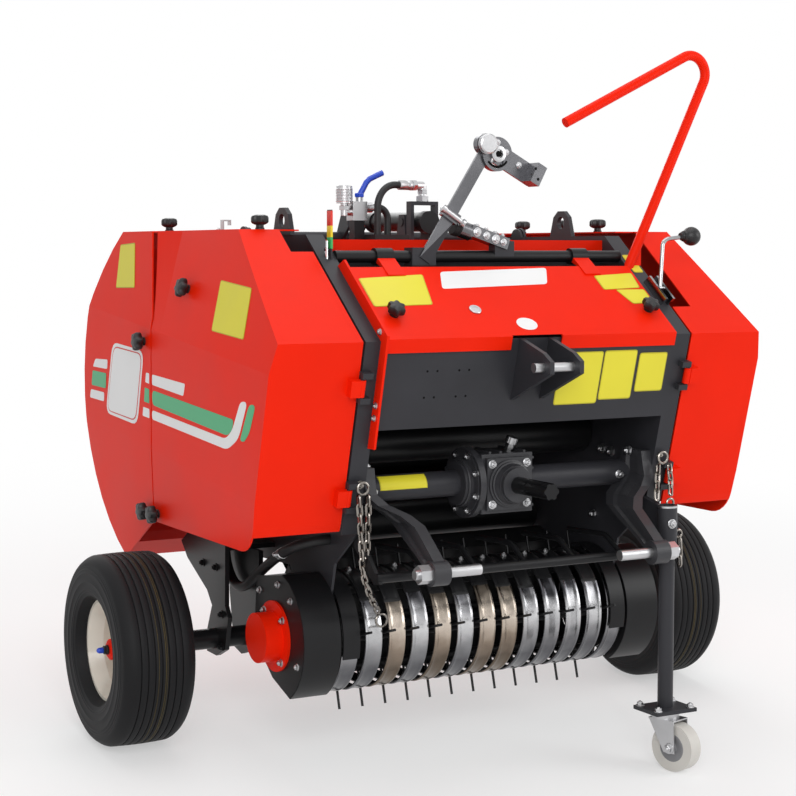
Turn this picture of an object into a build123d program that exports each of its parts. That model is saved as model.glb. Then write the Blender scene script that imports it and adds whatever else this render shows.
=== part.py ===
"""Mini round baler for a small tractor's three-point linkage, parked on two wheels and a castor stand.

Everything is modelled in the level machine frame, in millimetres: X across the machine, Y from the
wheel axle towards the rear, Z up from the ground under level wheels. The tractor is at -Y. At the end
the whole machine is tipped nose-up about its axle, as it stands on its castor, and moved so that the
origin lies on the ground in the middle of its length.
"""
from build123d import *
import os
from math import atan2, cos, degrees, hypot, radians, sin, tan

# Bale chamber: the bale's width and diameter set where the rest of the machine stands
BALE_WIDTH = 700.0
BALE_DIAMETER = 500.0
CHAMBER_Y = 90.0
CHAMBER_Z = 715.0
ROLLER_RADIUS = 45.0
ROLLER_JOURNAL_RADIUS = 14.0
ROLLER_END_GAP = 8.0
ROLLER_WALL = 3.5
ROLLER_DISC = 6.0
ROLLER_DISC_HOLE = 9.0
FRONT_ROLLER_ANGLES = (105, 135, 165, 258)
FEED_ROLLER_ANGLE = 196
GATE_ROLLER_ANGLES = (72, 44, 16, -12, -40, -68)
SIDE_PLATE = 6.0
SHEET = 3.0
WALL_X = BALE_WIDTH / 2
ROLLER_REACH = BALE_DIAMETER / 2 + 2 * ROLLER_RADIUS
TOP_SHEET_CLEAR = 10.0
TOP_SHEET_Z = CHAMBER_Z + ROLLER_REACH + TOP_SHEET_CLEAR
TOP_SHEET_LIP = 37.0
TOP_SHEET_END = 27.0
BOX_CLEAR = 4.0
BOX_BACK_Y = CHAMBER_Y - ROLLER_REACH - BOX_CLEAR
BOX_LIP_GAP = 8.0
TOP_SHEET_FRONT = BOX_BACK_Y - BOX_LIP_GAP

# Wheels and stance
WHEEL_RADIUS = 203.0
TYRE_WIDTH = 165.0
WHEEL_OUT = 330.0
WHEEL_X = WALL_X + WHEEL_OUT
RIM_RADIUS = 116.0
RIM_WELL_RADIUS = 92.0
RIM_WELL_HALF = 20.0
RIM_DISC = 8.0
RIM_DISC_OUT = 2.0
SPINDLE_RADIUS = 16.0
SPINDLE_OUT = 30.0
TUBE_BACK = 64.0
HUB_RADIUS = 34.0
HUB_BACK = 60.0
HUB_SLEEVE_RADIUS = 27.0
HUB_FLANGE_RADIUS = 60.0
HUB_FLANGE = 4.0
HUB_FRONT = 14.0
DUST_CAP_RADIUS = 26.0
DUST_CAP_LENGTH = 30.0
DUST_CAP_WALL = 10.0
AXLE_TUBE_RADIUS = 22.0
RUNNING_GAP = 0.1
SEAT_GAP = 0.3
TREAD_INSET = 26.0
TREAD_CROWN = 2.0
SHOULDER_DROP = 16.0
SHOULDER_INSET = 7.0
SHOULDER_TURN = (6.0, 9.0)
SIDEWALL_FOOT = 14.0
BEAD_INSET = 34.0
CASING = 16.0
RIM_FLANGE = 10.0
RIM_WALL = 4.0
NOSE_UP = 5.5

# Axle carriers: a shelf on the side plate with an outer and an inner hanging plate
SHELF_Z = 400.0
SHELF = 10.0
SHELF_HALF = 46.0
CARRIER_REACH = 124.0
INNER_HANGER_OUT = 44.0
HANGER = 10.0
OUTER_HANGER = [(-60.0, 217.0), (140.0, 217.0), (186.0, 189.0), (151.0, 155.0), (41.0, 100.0), (14.0, 70.0),
                (43.0, 10.0), (44.0, -36.0), (-8.0, -37.0), (-55.0, -16.0), (-73.0, 57.0), (-57.0, 80.0)]
INNER_HANGER = [(-80.0, 197.0), (80.0, 197.0), (78.0, 86.0), (57.0, -35.0), (16.0, -45.0), (-32.0, -30.0),
                (-78.0, 60.0)]

# Front frame, seen from the side: nose, hood slope above it and front slope below it
NOSE_AHEAD = 372.0
NOSE_Y = CHAMBER_Y - BALE_DIAMETER / 2 - NOSE_AHEAD
NOSE_DROP = 198.0
NOSE_Z = TOP_SHEET_Z - NOSE_DROP
HOOD_ANGLE = 38.5
FRONT_LEAN = 15.0
FRAME_OVER_SHEET = 10.0
FRAME_TOP_Z = TOP_SHEET_Z + FRAME_OVER_SHEET
FRAME_FOOT_Z = 480.0
SIDE_FOOT_Z = 365.0
FLANGE_WIDTH = 33.0
FLANGE = 6.0
PANEL_FOOT_Z = 690.0
PANEL_RETURN = 40.0
TOP_BAR_DROP = 45.0
TOP_BAR_Z = FRAME_TOP_Z - TOP_BAR_DROP
TOP_BAR_SET = 5.0
TOP_BAR_Y = NOSE_Y + (TOP_BAR_Z - NOSE_Z) / tan(radians(HOOD_ANGLE)) + TOP_BAR_SET
TOP_BAR_RADIUS = 12.5
LID_BAR_GAP = 40.0
LID_LENGTH = (TOP_BAR_Z - NOSE_Z) / sin(radians(HOOD_ANGLE)) - LID_BAR_GAP
LID_LIP = 26.0
LID_RAISE = 2.0
LID_STRAPS_X = (-260.0, 220.0)
LID_STRAP = 40.0
LID_STRAP_OVERLAP = 30.0
LID_STRAP_SHEET = 4.0
LID_KNUCKLE = 5.0

# Side covers
COVER_DEPTH = 231.0
COVER_X = WALL_X + SIDE_PLATE + COVER_DEPTH
DOOR_LEAN = 55.0
DOOR_TOP_X = COVER_X - DOOR_LEAN
GATE_LEAN = 33.0
GATE_TOP_X = COVER_X - GATE_LEAN
FLARE_Y = 34.0
COVER_OVER_FRAME = 10.0
COVER_TOP_Z = FRAME_TOP_Z + COVER_OVER_FRAME
COVER_FOOT_Z = 455.0
COVER_SKIRT = 130.0
COVER_TUCK = 11.0
COVER_FOOT_X = COVER_X - COVER_TUCK
CREASE_DROP = 59.0
CREASE_Z = NOSE_Z - CREASE_DROP
LOWER_CREASE_Z = 548.0
CREASE_RISE = 6.0
COVER_GAP = 5.0
COVER_END = 20.0
SEAM_TOP_Y = 140.0
SEAM_TOP_OPEN = 12.0
SEAM_BEND_Y = 84.0
SEAM_BEND_Z = 900.0
SEAM_FOOT_Y = 93.0
SEAM_RAISE = 30.0
REAR_OVERHANG = 178.0
REAR_RADIUS = BALE_DIAMETER / 2 + REAR_OVERHANG
REAR_CENTRE_RISE = 20.0
REAR_CENTRE_Z = CHAMBER_Z + REAR_CENTRE_RISE
REAR_FOOT_ANGLE = -64.0
REAR_STEPS = 14
SEAM_GAP = 6.0
STANDOFFS = [(60.0, 65.0), (310.0, 5.0), (240.0, 155.0)]
STANDOFF_RADIUS = 9.0
CORNER = 48.0
NOTCH_WIDTH = 54.0
NOTCH_LEFT_Z = FRAME_TOP_Z - 35.0
NOTCH_RIGHT_Z = NOSE_Z + 55.0
NOTCH_DEPTH = 8.0
NOTCH_OVER = 30.0
COVER_HINGES_Z = (560.0, 780.0)
COVER_HINGE_AHEAD = 10.0
COVER_HINGE_PIN = 4.0
COVER_KNUCKLE = 7.5
COVER_KNUCKLE_LENGTH = 34.0
COVER_PAD = 26.0
COVER_HINGE_TAB = 12.0
COVER_HINGE_LEAF = 20.0

# Tailgate hinge and ram
HINGE_Y = 95.0
HINGE_OVER_SHEET = 7.0
HINGE_Z = TOP_SHEET_Z + HINGE_OVER_SHEET
HINGE_PIN_RADIUS = 12.0
HINGE_PIN_OUT = 16.0
HINGE_EAR_RADIUS = 22.0
HINGE_CLEAR = 6.0
HINGE_LUG = 6.0
HINGE_LUG_GAP = 2.0
HINGE_LUG_RADIUS = 24.0
GATE_PLATE_EDGE = 22.0
GATE_SHELL_EDGE = 12.0
GATE_TUBE_Y = 178.0
GATE_TUBE_Z = TOP_SHEET_Z + 9.0
GATE_TUBE_RADIUS = 12.0
EYE_LUG = 8.0
EYE_LUG_OUT = 16.0
RAM_X = -60.0
RAM_BASE_Y = -140.0
RAM_BASE_Z = TOP_SHEET_Z + 39.0
RAM_NOSE = -62.0
RAM_TAIL = 192.0
RAM_COLLAR = 3.0
RAM_COLLAR_LENGTH = 24.0
RAM_BORE_START = 70.0
RAM_ROD_START = 150.0
RAM_TRUNNION_RADIUS = 9.0
RAM_POST_GAP = 5.0
RAM_POST = 8.0
RAM_EYE_Y = 150.0
RAM_EYE_Z = TOP_SHEET_Z + 43.0
RAM_EYE_RADIUS = 16.0
RAM_EYE_WIDTH = 26.0
RAM_RADIUS = 21.0
RAM_ROD_RADIUS = 11.0
BRIDGE_OVER_RAM = 36.0
BRIDGE = 8.0
BRIDGE_HALF = 10.0

# Oil fittings, hoses and lifting eyes on the roof
FITTING = (-60.0, -172.0, TOP_SHEET_Z + 117.0)
FITTING_RADIUS = 9.0
VALVE = (-216.0, -165.0, TOP_SHEET_Z + 61.0)
VALVE_HALF = 17.0
COUPLER_OUT = 30.0
COUPLER_RADIUS = 17.0
HANDLE_RADIUS = 5.0
GROMMET_TOP = TOP_SHEET_Z + 11.0
GROMMET_FROM = (-200.0, -218.0)
GROMMET_TO = (-118.0, -148.0)
HOSE_RADIUS = 7.5
HOSE_BEND = (-186.0, -202.0)
HOSE_DROP_X = -142.0
HOSE_TURN = 50.0
HOSE_SHORT_TURN = 24.0
ELBOW_REACH = 46.0
LUG = 10.0
LUG_Y = -96.0
LUG_EYE_Z = FRAME_TOP_Z + 31.0
LUG_EYE_RADIUS = 14.0
LUG_TOP = 58.0
LUG_SHOULDER = 44.0
LUG_HALF_TOP = 12.0
LUG_HALF_SHOULDER = 30.0

# Hose that hangs under the left cover
LOOP_OUT = 70.0
LOOP_RADIUS = 11.0
LOOP_BEND = 32.0
LOOP_RUN = [(66.0, 445.0), (62.0, 345.0), (-18.0, 300.0), (-150.0, 381.0), (-306.0, 452.0)]

# Pickup
PICKUP_Y = -224.0
PICKUP_Z = 245.0
BAND_RADIUS = 126.0
BAND_SHEET = 2.5
BAND_COUNT = 13
BAND_EDGE = 20.0
BAND_PITCH = (BALE_WIDTH - 2 * BAND_EDGE) / (BAND_COUNT - 1)
BAND_GAP = 16.0
BAND_WIDTH = BAND_PITCH - BAND_GAP
BAND_TAIL = 146.0
BAND_BACK_ANGLE = 65.0
RAIL_WIDTH = 18.0
RAIL = 6.0
TINE_TIP_RADIUS = 168.0
TINE_RADIUS = 2.75
TINE_BARS = 4
TINE_TRAIL = 8.0
TINE_BAR_RADIUS = 11.0
TINE_CIRCLE = 84.0
REEL_SHAFT_RADIUS = 15.0
REEL_SHAFT_INSET = 10.0
REEL_DISC = 6.0
REEL_DISC_EDGE = 20.0
SHIELD_DEPTH = 84.0
SHIELD_X = WALL_X + SIDE_PLATE + SHIELD_DEPTH
SHIELD_RADIUS = 137.0
SHIELD_BACK = [(90.0, 112.0), (104.0, -10.0), (76.0, -44.0), (14.0, -91.0)]
SHIELD_FOOT = [(0.0, -126.0), (-20.0, -60.0), (60.0, -30.0)]
SHIELD_FROM_ANGLE = -60
SHIELD_TO_ANGLE = 75
SHROUD_WIDTH = 38.0
SHROUD_X = WALL_X - SHROUD_WIDTH
SHROUD_FOOT_ANGLE = 15.0
SHROUD_HEAD_ANGLE = 8.5
SHIELD_EAR = [(-106.0, 160.0), (-86.0, 85.0), (74.0, 80.0), (104.0, 127.0)]
CAP_RADIUS = 52.0
CAP_FLANGE_RADIUS = 74.0
CAP_FLANGE = 5.0
CAP_LENGTH = 44.0
BORE_WALL = 4.0
GUARD_Y = -500.0
GUARD_Z = 400.0
GUARD_RADIUS = 10.0
GUARD_ARM = 8.0
GUARD_ROOT_Z = 486.0
GUARD_ROOT_DEPTH = 34.0
GUARD_ROOT_SET = 26.0
GUARD_RODS = 5
GUARD_ROD_PITCH = 120.0
GUARD_ROD_RADIUS = 6.0
GUARD_ROD_BEND = 40.0
GUARD_ROD_RISE = (60.0, 36.0)
GUARD_ROD_TIP = (200.0, 30.0)

# Gearbox and power take-off
DRIVE_Y = -372.0
DRIVE_Z = 560.0
DRIVE_TUBE_RADIUS = 27.0
GEARBOX_HALF = 62.0
GEARBOX_FRONT = 52.0
GEARBOX_REAR = 56.0
GEARBOX_FLANGE_RADIUS = 74.0
GEARBOX_FLANGE = 14.0
GEARBOX_NECK = 20.0
GEARBOX_NECK_RADIUS = 46.0
GEARBOX_PLATE = 108.0
GEARBOX_PLATE_SHEET = 10.0
GEARBOX_BOSS = 34.0
GEARBOX_BOSS_RADIUS = 36.0
PTO_RADIUS = 17.45
PTO_ROOT_RADIUS = 14.8
PTO_TIP_Y = -592.0
PTO_INSERT = 20.0
SPLINE_LENGTH = 78.0
SPLINE_GROOVE = 9.0
SPLINE_COUNT = 6

# Three-point hitch
LINK_PIN_RADIUS = 11.0
LINK_SHANK_RADIUS = 9.5
LINK_PIN_Y = -592.0
LINK_PIN_Z = 418.0
ARM_INSET = 86.0
ARM_X = WALL_X - ARM_INSET
LINK_PIN_LENGTH = 96.0
LINK_PIN_TIP_X = ARM_X - LINK_PIN_LENGTH
LINK_NUT_RADIUS = 19.0
LINK_NUT = 26.0
LINK_THREAD = 34.0
ARM_THICKNESS = 24.0
ARM_EDGE_SHARE = 0.26
ARM_FILLET_SHARE = 1.3
ARM_HUB_RADIUS = 25.0
ARM_BOSS = 6.0
ARM_STATIONS = [(612.0, 0.0, -448.0, 70.0), (590.0, 0.0, -452.0, 82.0), (560.0, 0.0, -460.0, 92.0),
                (540.0, 0.25, -474.0, 98.0), (520.0, 0.75, -498.0, 100.0), (500.0, 1.0, -522.0, 98.0),
                (470.0, 1.0, -562.0, 86.0), (440.0, 1.0, -600.0, 66.0), (416.0, 1.0, -612.0, 40.0)]
TOP_PIN_RADIUS = 9.5
TOP_PIN_AHEAD = 86.0
TOP_PIN_Y = NOSE_Y - TOP_PIN_AHEAD
TOP_PIN_DROP = 55.0
TOP_PIN_Z = NOSE_Z - TOP_PIN_DROP
TOP_PIN_HEAD = 22.0
TOP_PIN_TAIL = 12.0
CLEVIS_GAP = 60.0
CLEVIS_LUG = 10.0
CLEVIS_DEPTH = 127.0
CLEVIS_NOSE = 26.0
CLEVIS_HALF = 12.0
CLEVIS_CROWN = 28.0

# Guide pipe, guard strip, lever and gauge on the frame
GUIDE_Y = NOSE_Y + 180.0
GUIDE_RADIUS = 11.0
GUIDE_BEND = 40.0
GUIDE_FOOT = (WALL_X + 4.0, NOSE_Z + 133.0)
GUIDE_TOP = (WALL_X + 258.0, NOSE_Z + 653.0)
GUIDE_TIP = (WALL_X - 162.0, NOSE_Z + 447.0)
GUSSET = 5.0
GUSSET_FOOT_Z = NOSE_Z + 143.0
GUSSET_RISE = 70.0
GUSSET_POINT = (WALL_X + 54.0, NOSE_Z + 233.0)
GUSSET_INNER_X = WALL_X + 22.0
STRIP = 5.0
STRIP_REACH = 26.0
STRIP_TIP_RISE = 12.0
STRIP_TOP_Z = NOSE_Z + 145.0
STRIP_FOOT_Z = 655.0
LEVER_X = WALL_X + 26.0
LEVER_Z = NOSE_Z + 83.0
LEVER_FOOT_HALF = 24.0
LEVER_FOOT_OUT = 22.0
LEVER_FORK = (7.0, 12.0)
LEVER_PIN_OUT = 14.0
LEVER_PIN_RADIUS = 5.0
LEVER_RISE = 116.0
LEVER_REACH = 70.0
LEVER_BEND = 18.0
LEVER_RADIUS = 4.5
LEVER_BALL = 20.0
GAUGE_Z = NOSE_Z + 157.0
GAUGE_OUT = 8.0
GAUGE_SHEET = 4.0
GAUGE_WIDTH = 16.0
GAUGE_HEIGHT = 100.0
POINTER_Z = 20.0
POINTER_LENGTH = 14.0
POINTER_RADIUS = 3.0

# Twine gear on the cross bar
TWINE_ARM_X = -150.0
TWINE_ARM_FOOT = 8.0
TWINE_ARM_LEAN = 144.0
TWINE_ARM_RISE = 222.0
TWINE_ARM_WIDTH = 28.0
TWINE_ARM_SHEET = 6.0
TWINE_GAP = 4.0
TWINE_CLAMP = (40.0, 16.0, 22.0)
TWINE_CLAMP_SHARE = 0.42
TWINE_DISC_RADIUS = 36.0
TWINE_EYE_RADIUS = 15.0
TWINE_GUIDE_LEAN = 28.0
TWINE_GUIDE = (100.0, 6.0, 44.0)
TWINE_TAB = (24.0, 40.0, 44.0)
TWINE_CAP_RADIUS = 22.0
TENSIONER_X = 24.0
TENSIONER_CLAMP = 48.0
TENSIONER_LEAN = 18.0
TENSIONER_BODY = (96.0, 34.0, 24.0)
TENSIONER_CAP_RADIUS = 18.0
TENSIONER_CAP = 28.0

# Castor stand
STAND_INSET = 29.0
STAND_X = WALL_X - STAND_INSET
STAND_Y = -549.0
STAND_ROOT_Y = -400.0
STAND_ROOT_DEPTH = 80.0
SLEEVE_RADIUS = 21.0
LEG_RADIUS = 16.5
LEG_TOP_GAP = 4.0
SLEEVE_TOP_Z = 508.0
SLEEVE_FOOT_Z = 396.0
CASTOR_RADIUS = 51.0
CASTOR_WIDTH = 34.0
CASTOR_TRAIL = 30.0
CASTOR_TURN = 17.0
CASTOR_HEIGHT = 132.0
CASTOR_PLATE = 8.0
CASTOR_PLATE_HALF = (52.0, 42.0)
CASTOR_HEAD_RADIUS = 30.0
CASTOR_HEAD = 13.4
CASTOR_FORK_GAP = 6.0
CASTOR_FORK_SHEET = 3.0
CASTOR_BOLT_RADIUS = 6.0
CASTOR_BOLT_OUT = 8.0
STAND_PLATE_OFFSET = 16.0


def slope_y(z):
    """Y of the frame's front edge at a height, on the hood slope above the nose or the front slope below."""
    if z >= NOSE_Z:
        return NOSE_Y + (z - NOSE_Z) / tan(radians(HOOD_ANGLE))
    return NOSE_Y + (NOSE_Z - z) * tan(radians(FRONT_LEAN))


def crease_z(z_at_nose, y):
    """Height of a side cover's crease, which rises towards the rear."""
    return z_at_nose + (y - NOSE_Y) * tan(radians(CREASE_RISE))


def side_slab(points, x_from, x_to):
    """Solid with a straight-sided outline in the side view, between two X planes."""
    face = make_face(Polyline(*points, close=True))
    return extrude(Plane.YZ.offset(x_from) * face, x_to - x_from)


def block(x_from, x_to, y_from, y_to, z_from, z_to):
    """Rectangular block between two corners."""
    middle = ((x_from + x_to) / 2, (y_from + y_to) / 2, (z_from + z_to) / 2)
    return Pos(*middle) * Box(x_to - x_from, y_to - y_from, z_to - z_from)


def bar(start, end, radius):
    """Straight round bar between two points."""
    run = Vector(*end) - Vector(*start)
    return extrude(Plane(origin=start, z_dir=run) * Circle(radius), run.length)


def bent_bar(points, bend, radius):
    """Round bar along straight runs with tangent bends."""
    path = FilletPolyline(*points, radius=bend)
    return sweep(Plane(origin=path @ 0, z_dir=path % 0) * Circle(radius), path=path)


def mirrored(shape):
    """The same piece on the other side of the machine."""
    return mirror(shape, about=Plane.YZ)


def both_sides(shape):
    """A piece and its mirror image, as one node."""
    return Compound([*shape.solids(), *mirrored(shape).solids()])


# Wheels


def tyre():
    """Ribbed implement tyre, about the X axis through its own centre."""
    half = TYRE_WIDTH / 2
    tread = half - TREAD_INSET
    bead = half - BEAD_INSET
    foot = RIM_RADIUS + SEAT_GAP
    seat = RIM_RADIUS - RIM_FLANGE + SEAT_GAP
    roof = WHEEL_RADIUS - CASING
    inner = Polyline((-bead, foot), (-bead, seat), (-bead + CASING, seat), (-bead + CASING, roof),
                     (bead - CASING, roof), (bead - CASING, seat), (bead, seat), (bead, foot))
    wall = half - SIDEWALL_FOOT
    side = half - SHOULDER_INSET
    shoulder = WHEEL_RADIUS - SHOULDER_DROP
    belly = (foot + WHEEL_RADIUS) / 2
    edge = WHEEL_RADIUS - TREAD_CROWN
    turn_x, turn_z = side - SHOULDER_TURN[0], shoulder + SHOULDER_TURN[1]
    outer = [
        Line((bead, foot), (wall, foot)),
        ThreePointArc((wall, foot), (half, belly), (side, shoulder)),
        ThreePointArc((side, shoulder), (turn_x, turn_z), (tread, edge)),
        ThreePointArc((tread, edge), (0, WHEEL_RADIUS), (-tread, edge)),
        ThreePointArc((-tread, edge), (-turn_x, turn_z), (-side, shoulder)),
        ThreePointArc((-side, shoulder), (-half, belly), (-wall, foot)),
        Line((-wall, foot), (-bead, foot)),
    ]
    return revolve(make_face([*inner.edges(), *outer]), Axis.X)


def rim():
    """Pressed drop-centre wheel with its disc near the middle, about the X axis through its own centre."""
    half = TYRE_WIDTH / 2 - BEAD_INSET + SEAT_GAP
    seat = RIM_RADIUS - RIM_FLANGE
    edge = half + RIM_WALL
    well = RIM_WELL_RADIUS - RIM_WALL
    flat = RIM_WELL_HALF
    turn = RIM_WELL_HALF + RIM_WALL / 2
    out = RIM_DISC_OUT
    back = RIM_DISC_OUT - RIM_DISC
    profile = [
        (-edge, RIM_RADIUS), (-half, RIM_RADIUS), (-half, seat), (-flat, RIM_WELL_RADIUS),
        (flat, RIM_WELL_RADIUS), (half, seat), (half, RIM_RADIUS), (edge, RIM_RADIUS),
        (edge, seat - RIM_WALL), (turn, well), (out, well), (out, HUB_RADIUS), (back, HUB_RADIUS),
        (back, well), (-turn, well), (-edge, seat - RIM_WALL),
    ]
    return revolve(make_face(Polyline(*profile, close=True)), Axis.X)


def hub():
    """Hub on the axle spindle, with a flange against the rim and a dust cap outside."""
    bore = SPINDLE_RADIUS + RUNNING_GAP
    face = RIM_DISC_OUT - RIM_DISC
    back = face - HUB_FLANGE
    cap_end = HUB_FRONT + DUST_CAP_LENGTH
    floor = cap_end - DUST_CAP_WALL
    profile = [
        (-HUB_BACK, bore), (-HUB_BACK, HUB_SLEEVE_RADIUS), (back, HUB_SLEEVE_RADIUS),
        (back, HUB_FLANGE_RADIUS), (face, HUB_FLANGE_RADIUS), (face, HUB_RADIUS), (HUB_FRONT, HUB_RADIUS),
        (HUB_FRONT, DUST_CAP_RADIUS), (cap_end - HUB_FLANGE, DUST_CAP_RADIUS - HUB_FLANGE),
        (cap_end, SPINDLE_RADIUS), (cap_end, 0), (floor, 0), (floor, bore),
    ]
    return revolve(make_face(Polyline(*profile, close=True)), Axis.X)


def wheel_at(side, shape):
    """Place a wheel piece, dished outwards, on the left (-1) or right (+1) spindle."""
    turned = shape if side > 0 else Rot(0, 0, 180) * shape
    return Pos(side * WHEEL_X, 0, WHEEL_RADIUS) * turned


def axle():
    """Cross tube with a spindle at each end."""
    spindle_end = WHEEL_X + SPINDLE_OUT
    tube_end = WHEEL_X - TUBE_BACK
    profile = [(-spindle_end, 0), (-spindle_end, SPINDLE_RADIUS), (-tube_end, SPINDLE_RADIUS),
               (-tube_end, AXLE_TUBE_RADIUS), (tube_end, AXLE_TUBE_RADIUS), (tube_end, SPINDLE_RADIUS),
               (spindle_end, SPINDLE_RADIUS), (spindle_end, 0)]
    return Pos(0, 0, WHEEL_RADIUS) * revolve(make_face(Polyline(*profile, close=True)), Axis.X)


def axle_bracket():
    """Right-hand axle carrier: a shelf on the side plate and two hanging plates that hold the axle tube."""
    wall = WALL_X + SIDE_PLATE
    outer = [(y, z + WHEEL_RADIUS) for y, z in OUTER_HANGER]
    inner = [(y, z + WHEEL_RADIUS) for y, z in INNER_HANGER]
    end = wall + CARRIER_REACH
    shelf = block(wall, end, -SHELF_HALF, SHELF_HALF, SHELF_Z, SHELF_Z + SHELF)
    shape = shelf + side_slab(outer, end - HANGER, end)
    shape += side_slab(inner, wall + INNER_HANGER_OUT, wall + INNER_HANGER_OUT + HANGER)
    return shape - bar((wall, 0, WHEEL_RADIUS), (end + HANGER, 0, WHEEL_RADIUS), AXLE_TUBE_RADIUS)


# Bale chamber and front frame


def side_plate():
    """Right-hand chamber wall with the flange that frames the hood and the front panel."""
    inside = WALL_X
    seam = SEAM_FOOT_Y - SEAM_GAP
    ear_outline = [(PICKUP_Y + y, PICKUP_Z + z) for y, z in SHIELD_EAR]
    outline = [(seam, FRAME_TOP_Z), (slope_y(FRAME_TOP_Z), FRAME_TOP_Z), (NOSE_Y, NOSE_Z),
               (slope_y(FRAME_FOOT_Z), FRAME_FOOT_Z), *ear_outline, (seam, SIDE_FOOT_Z)]
    top, foot = slope_y(FRAME_TOP_Z), slope_y(FRAME_FOOT_Z)
    back = FLANGE / cos(radians(45))
    flange = [(top, FRAME_TOP_Z), (NOSE_Y, NOSE_Z), (foot, FRAME_FOOT_Z), (foot + FLANGE, FRAME_FOOT_Z),
              (NOSE_Y + back, NOSE_Z), (top + back, FRAME_TOP_Z)]
    wall = inside + SIDE_PLATE
    plate = side_slab(outline, inside, wall) + side_slab(flange, inside, wall + FLANGE_WIDTH)
    ear = bar((inside, HINGE_Y, HINGE_Z), (wall, HINGE_Y, HINGE_Z), HINGE_EAR_RADIUS)
    pin = bar((inside, HINGE_Y, HINGE_Z), (wall + HINGE_PIN_OUT, HINGE_Y, HINGE_Z), HINGE_PIN_RADIUS)
    return plate + ear + pin


def front_panel():
    """Dark panel between the side plates on the front slope, with a stiffening return along its foot."""
    foot = slope_y(PANEL_FOOT_Z)
    back = foot + PANEL_RETURN
    outline = [(NOSE_Y, NOSE_Z), (foot, PANEL_FOOT_Z), (back, PANEL_FOOT_Z), (back, PANEL_FOOT_Z + FLANGE),
               (foot + FLANGE, PANEL_FOOT_Z + FLANGE), (NOSE_Y + FLANGE, NOSE_Z)]
    return side_slab(outline, -WALL_X, WALL_X)


def twine_box():
    """Floor and back wall of the twine box behind the front panel."""
    floor_front = slope_y(PANEL_FOOT_Z) + PANEL_RETURN
    back = BOX_BACK_Y
    top = TOP_SHEET_Z - TOP_SHEET_LIP
    outline = [(floor_front, PANEL_FOOT_Z), (back, PANEL_FOOT_Z), (back, top), (back - SHEET, top),
               (back - SHEET, PANEL_FOOT_Z + SHEET), (floor_front, PANEL_FOOT_Z + SHEET)]
    return side_slab(outline, -WALL_X, WALL_X)


def top_sheet():
    """Red sheet over the chamber with a turned-down front edge."""
    front, back = TOP_SHEET_FRONT, SEAM_FOOT_Y - TOP_SHEET_END
    top, lip = TOP_SHEET_Z, TOP_SHEET_Z - TOP_SHEET_LIP
    outline = [(back, top), (front, top), (front, lip), (front + SHEET, lip), (front + SHEET, top - SHEET),
               (back, top - SHEET)]
    return side_slab(outline, -WALL_X, WALL_X)


def top_bar():
    """Cross bar above the lid, which ties the two side plates and carries the twine gear."""
    return bar((-WALL_X, TOP_BAR_Y, TOP_BAR_Z), (WALL_X, TOP_BAR_Y, TOP_BAR_Z), TOP_BAR_RADIUS)


def chamber_roller(angle):
    """Chamber roller at an angle from the rear: a tube on pierced discs, on a shaft between the walls."""
    reach = BALE_DIAMETER / 2 + ROLLER_RADIUS
    y = CHAMBER_Y + reach * cos(radians(angle))
    z = CHAMBER_Z + reach * sin(radians(angle))
    drum = WALL_X - ROLLER_END_GAP
    inside = ROLLER_RADIUS - ROLLER_WALL
    shape = bar((-drum, y, z), (drum, y, z), ROLLER_RADIUS) - bar((-drum, y, z), (drum, y, z), inside)
    for x in (-drum + ROLLER_DISC, drum - 2 * ROLLER_DISC):
        disc = bar((x, y, z), (x + ROLLER_DISC, y, z), inside)
        for turn in (90, 210, 330):
            middle = (inside + ROLLER_JOURNAL_RADIUS) / 2
            hole_y, hole_z = y + middle * cos(radians(turn)), z + middle * sin(radians(turn))
            disc -= bar((x, hole_y, hole_z), (x + ROLLER_DISC, hole_y, hole_z), ROLLER_DISC_HOLE)
        shape += disc
    return shape + bar((-WALL_X, y, z), (WALL_X, y, z), ROLLER_JOURNAL_RADIUS)


def rollers(angles):
    """Several chamber rollers as one node."""
    return Compound([solid for angle in angles for solid in chamber_roller(angle).solids()])


# Lid


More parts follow.
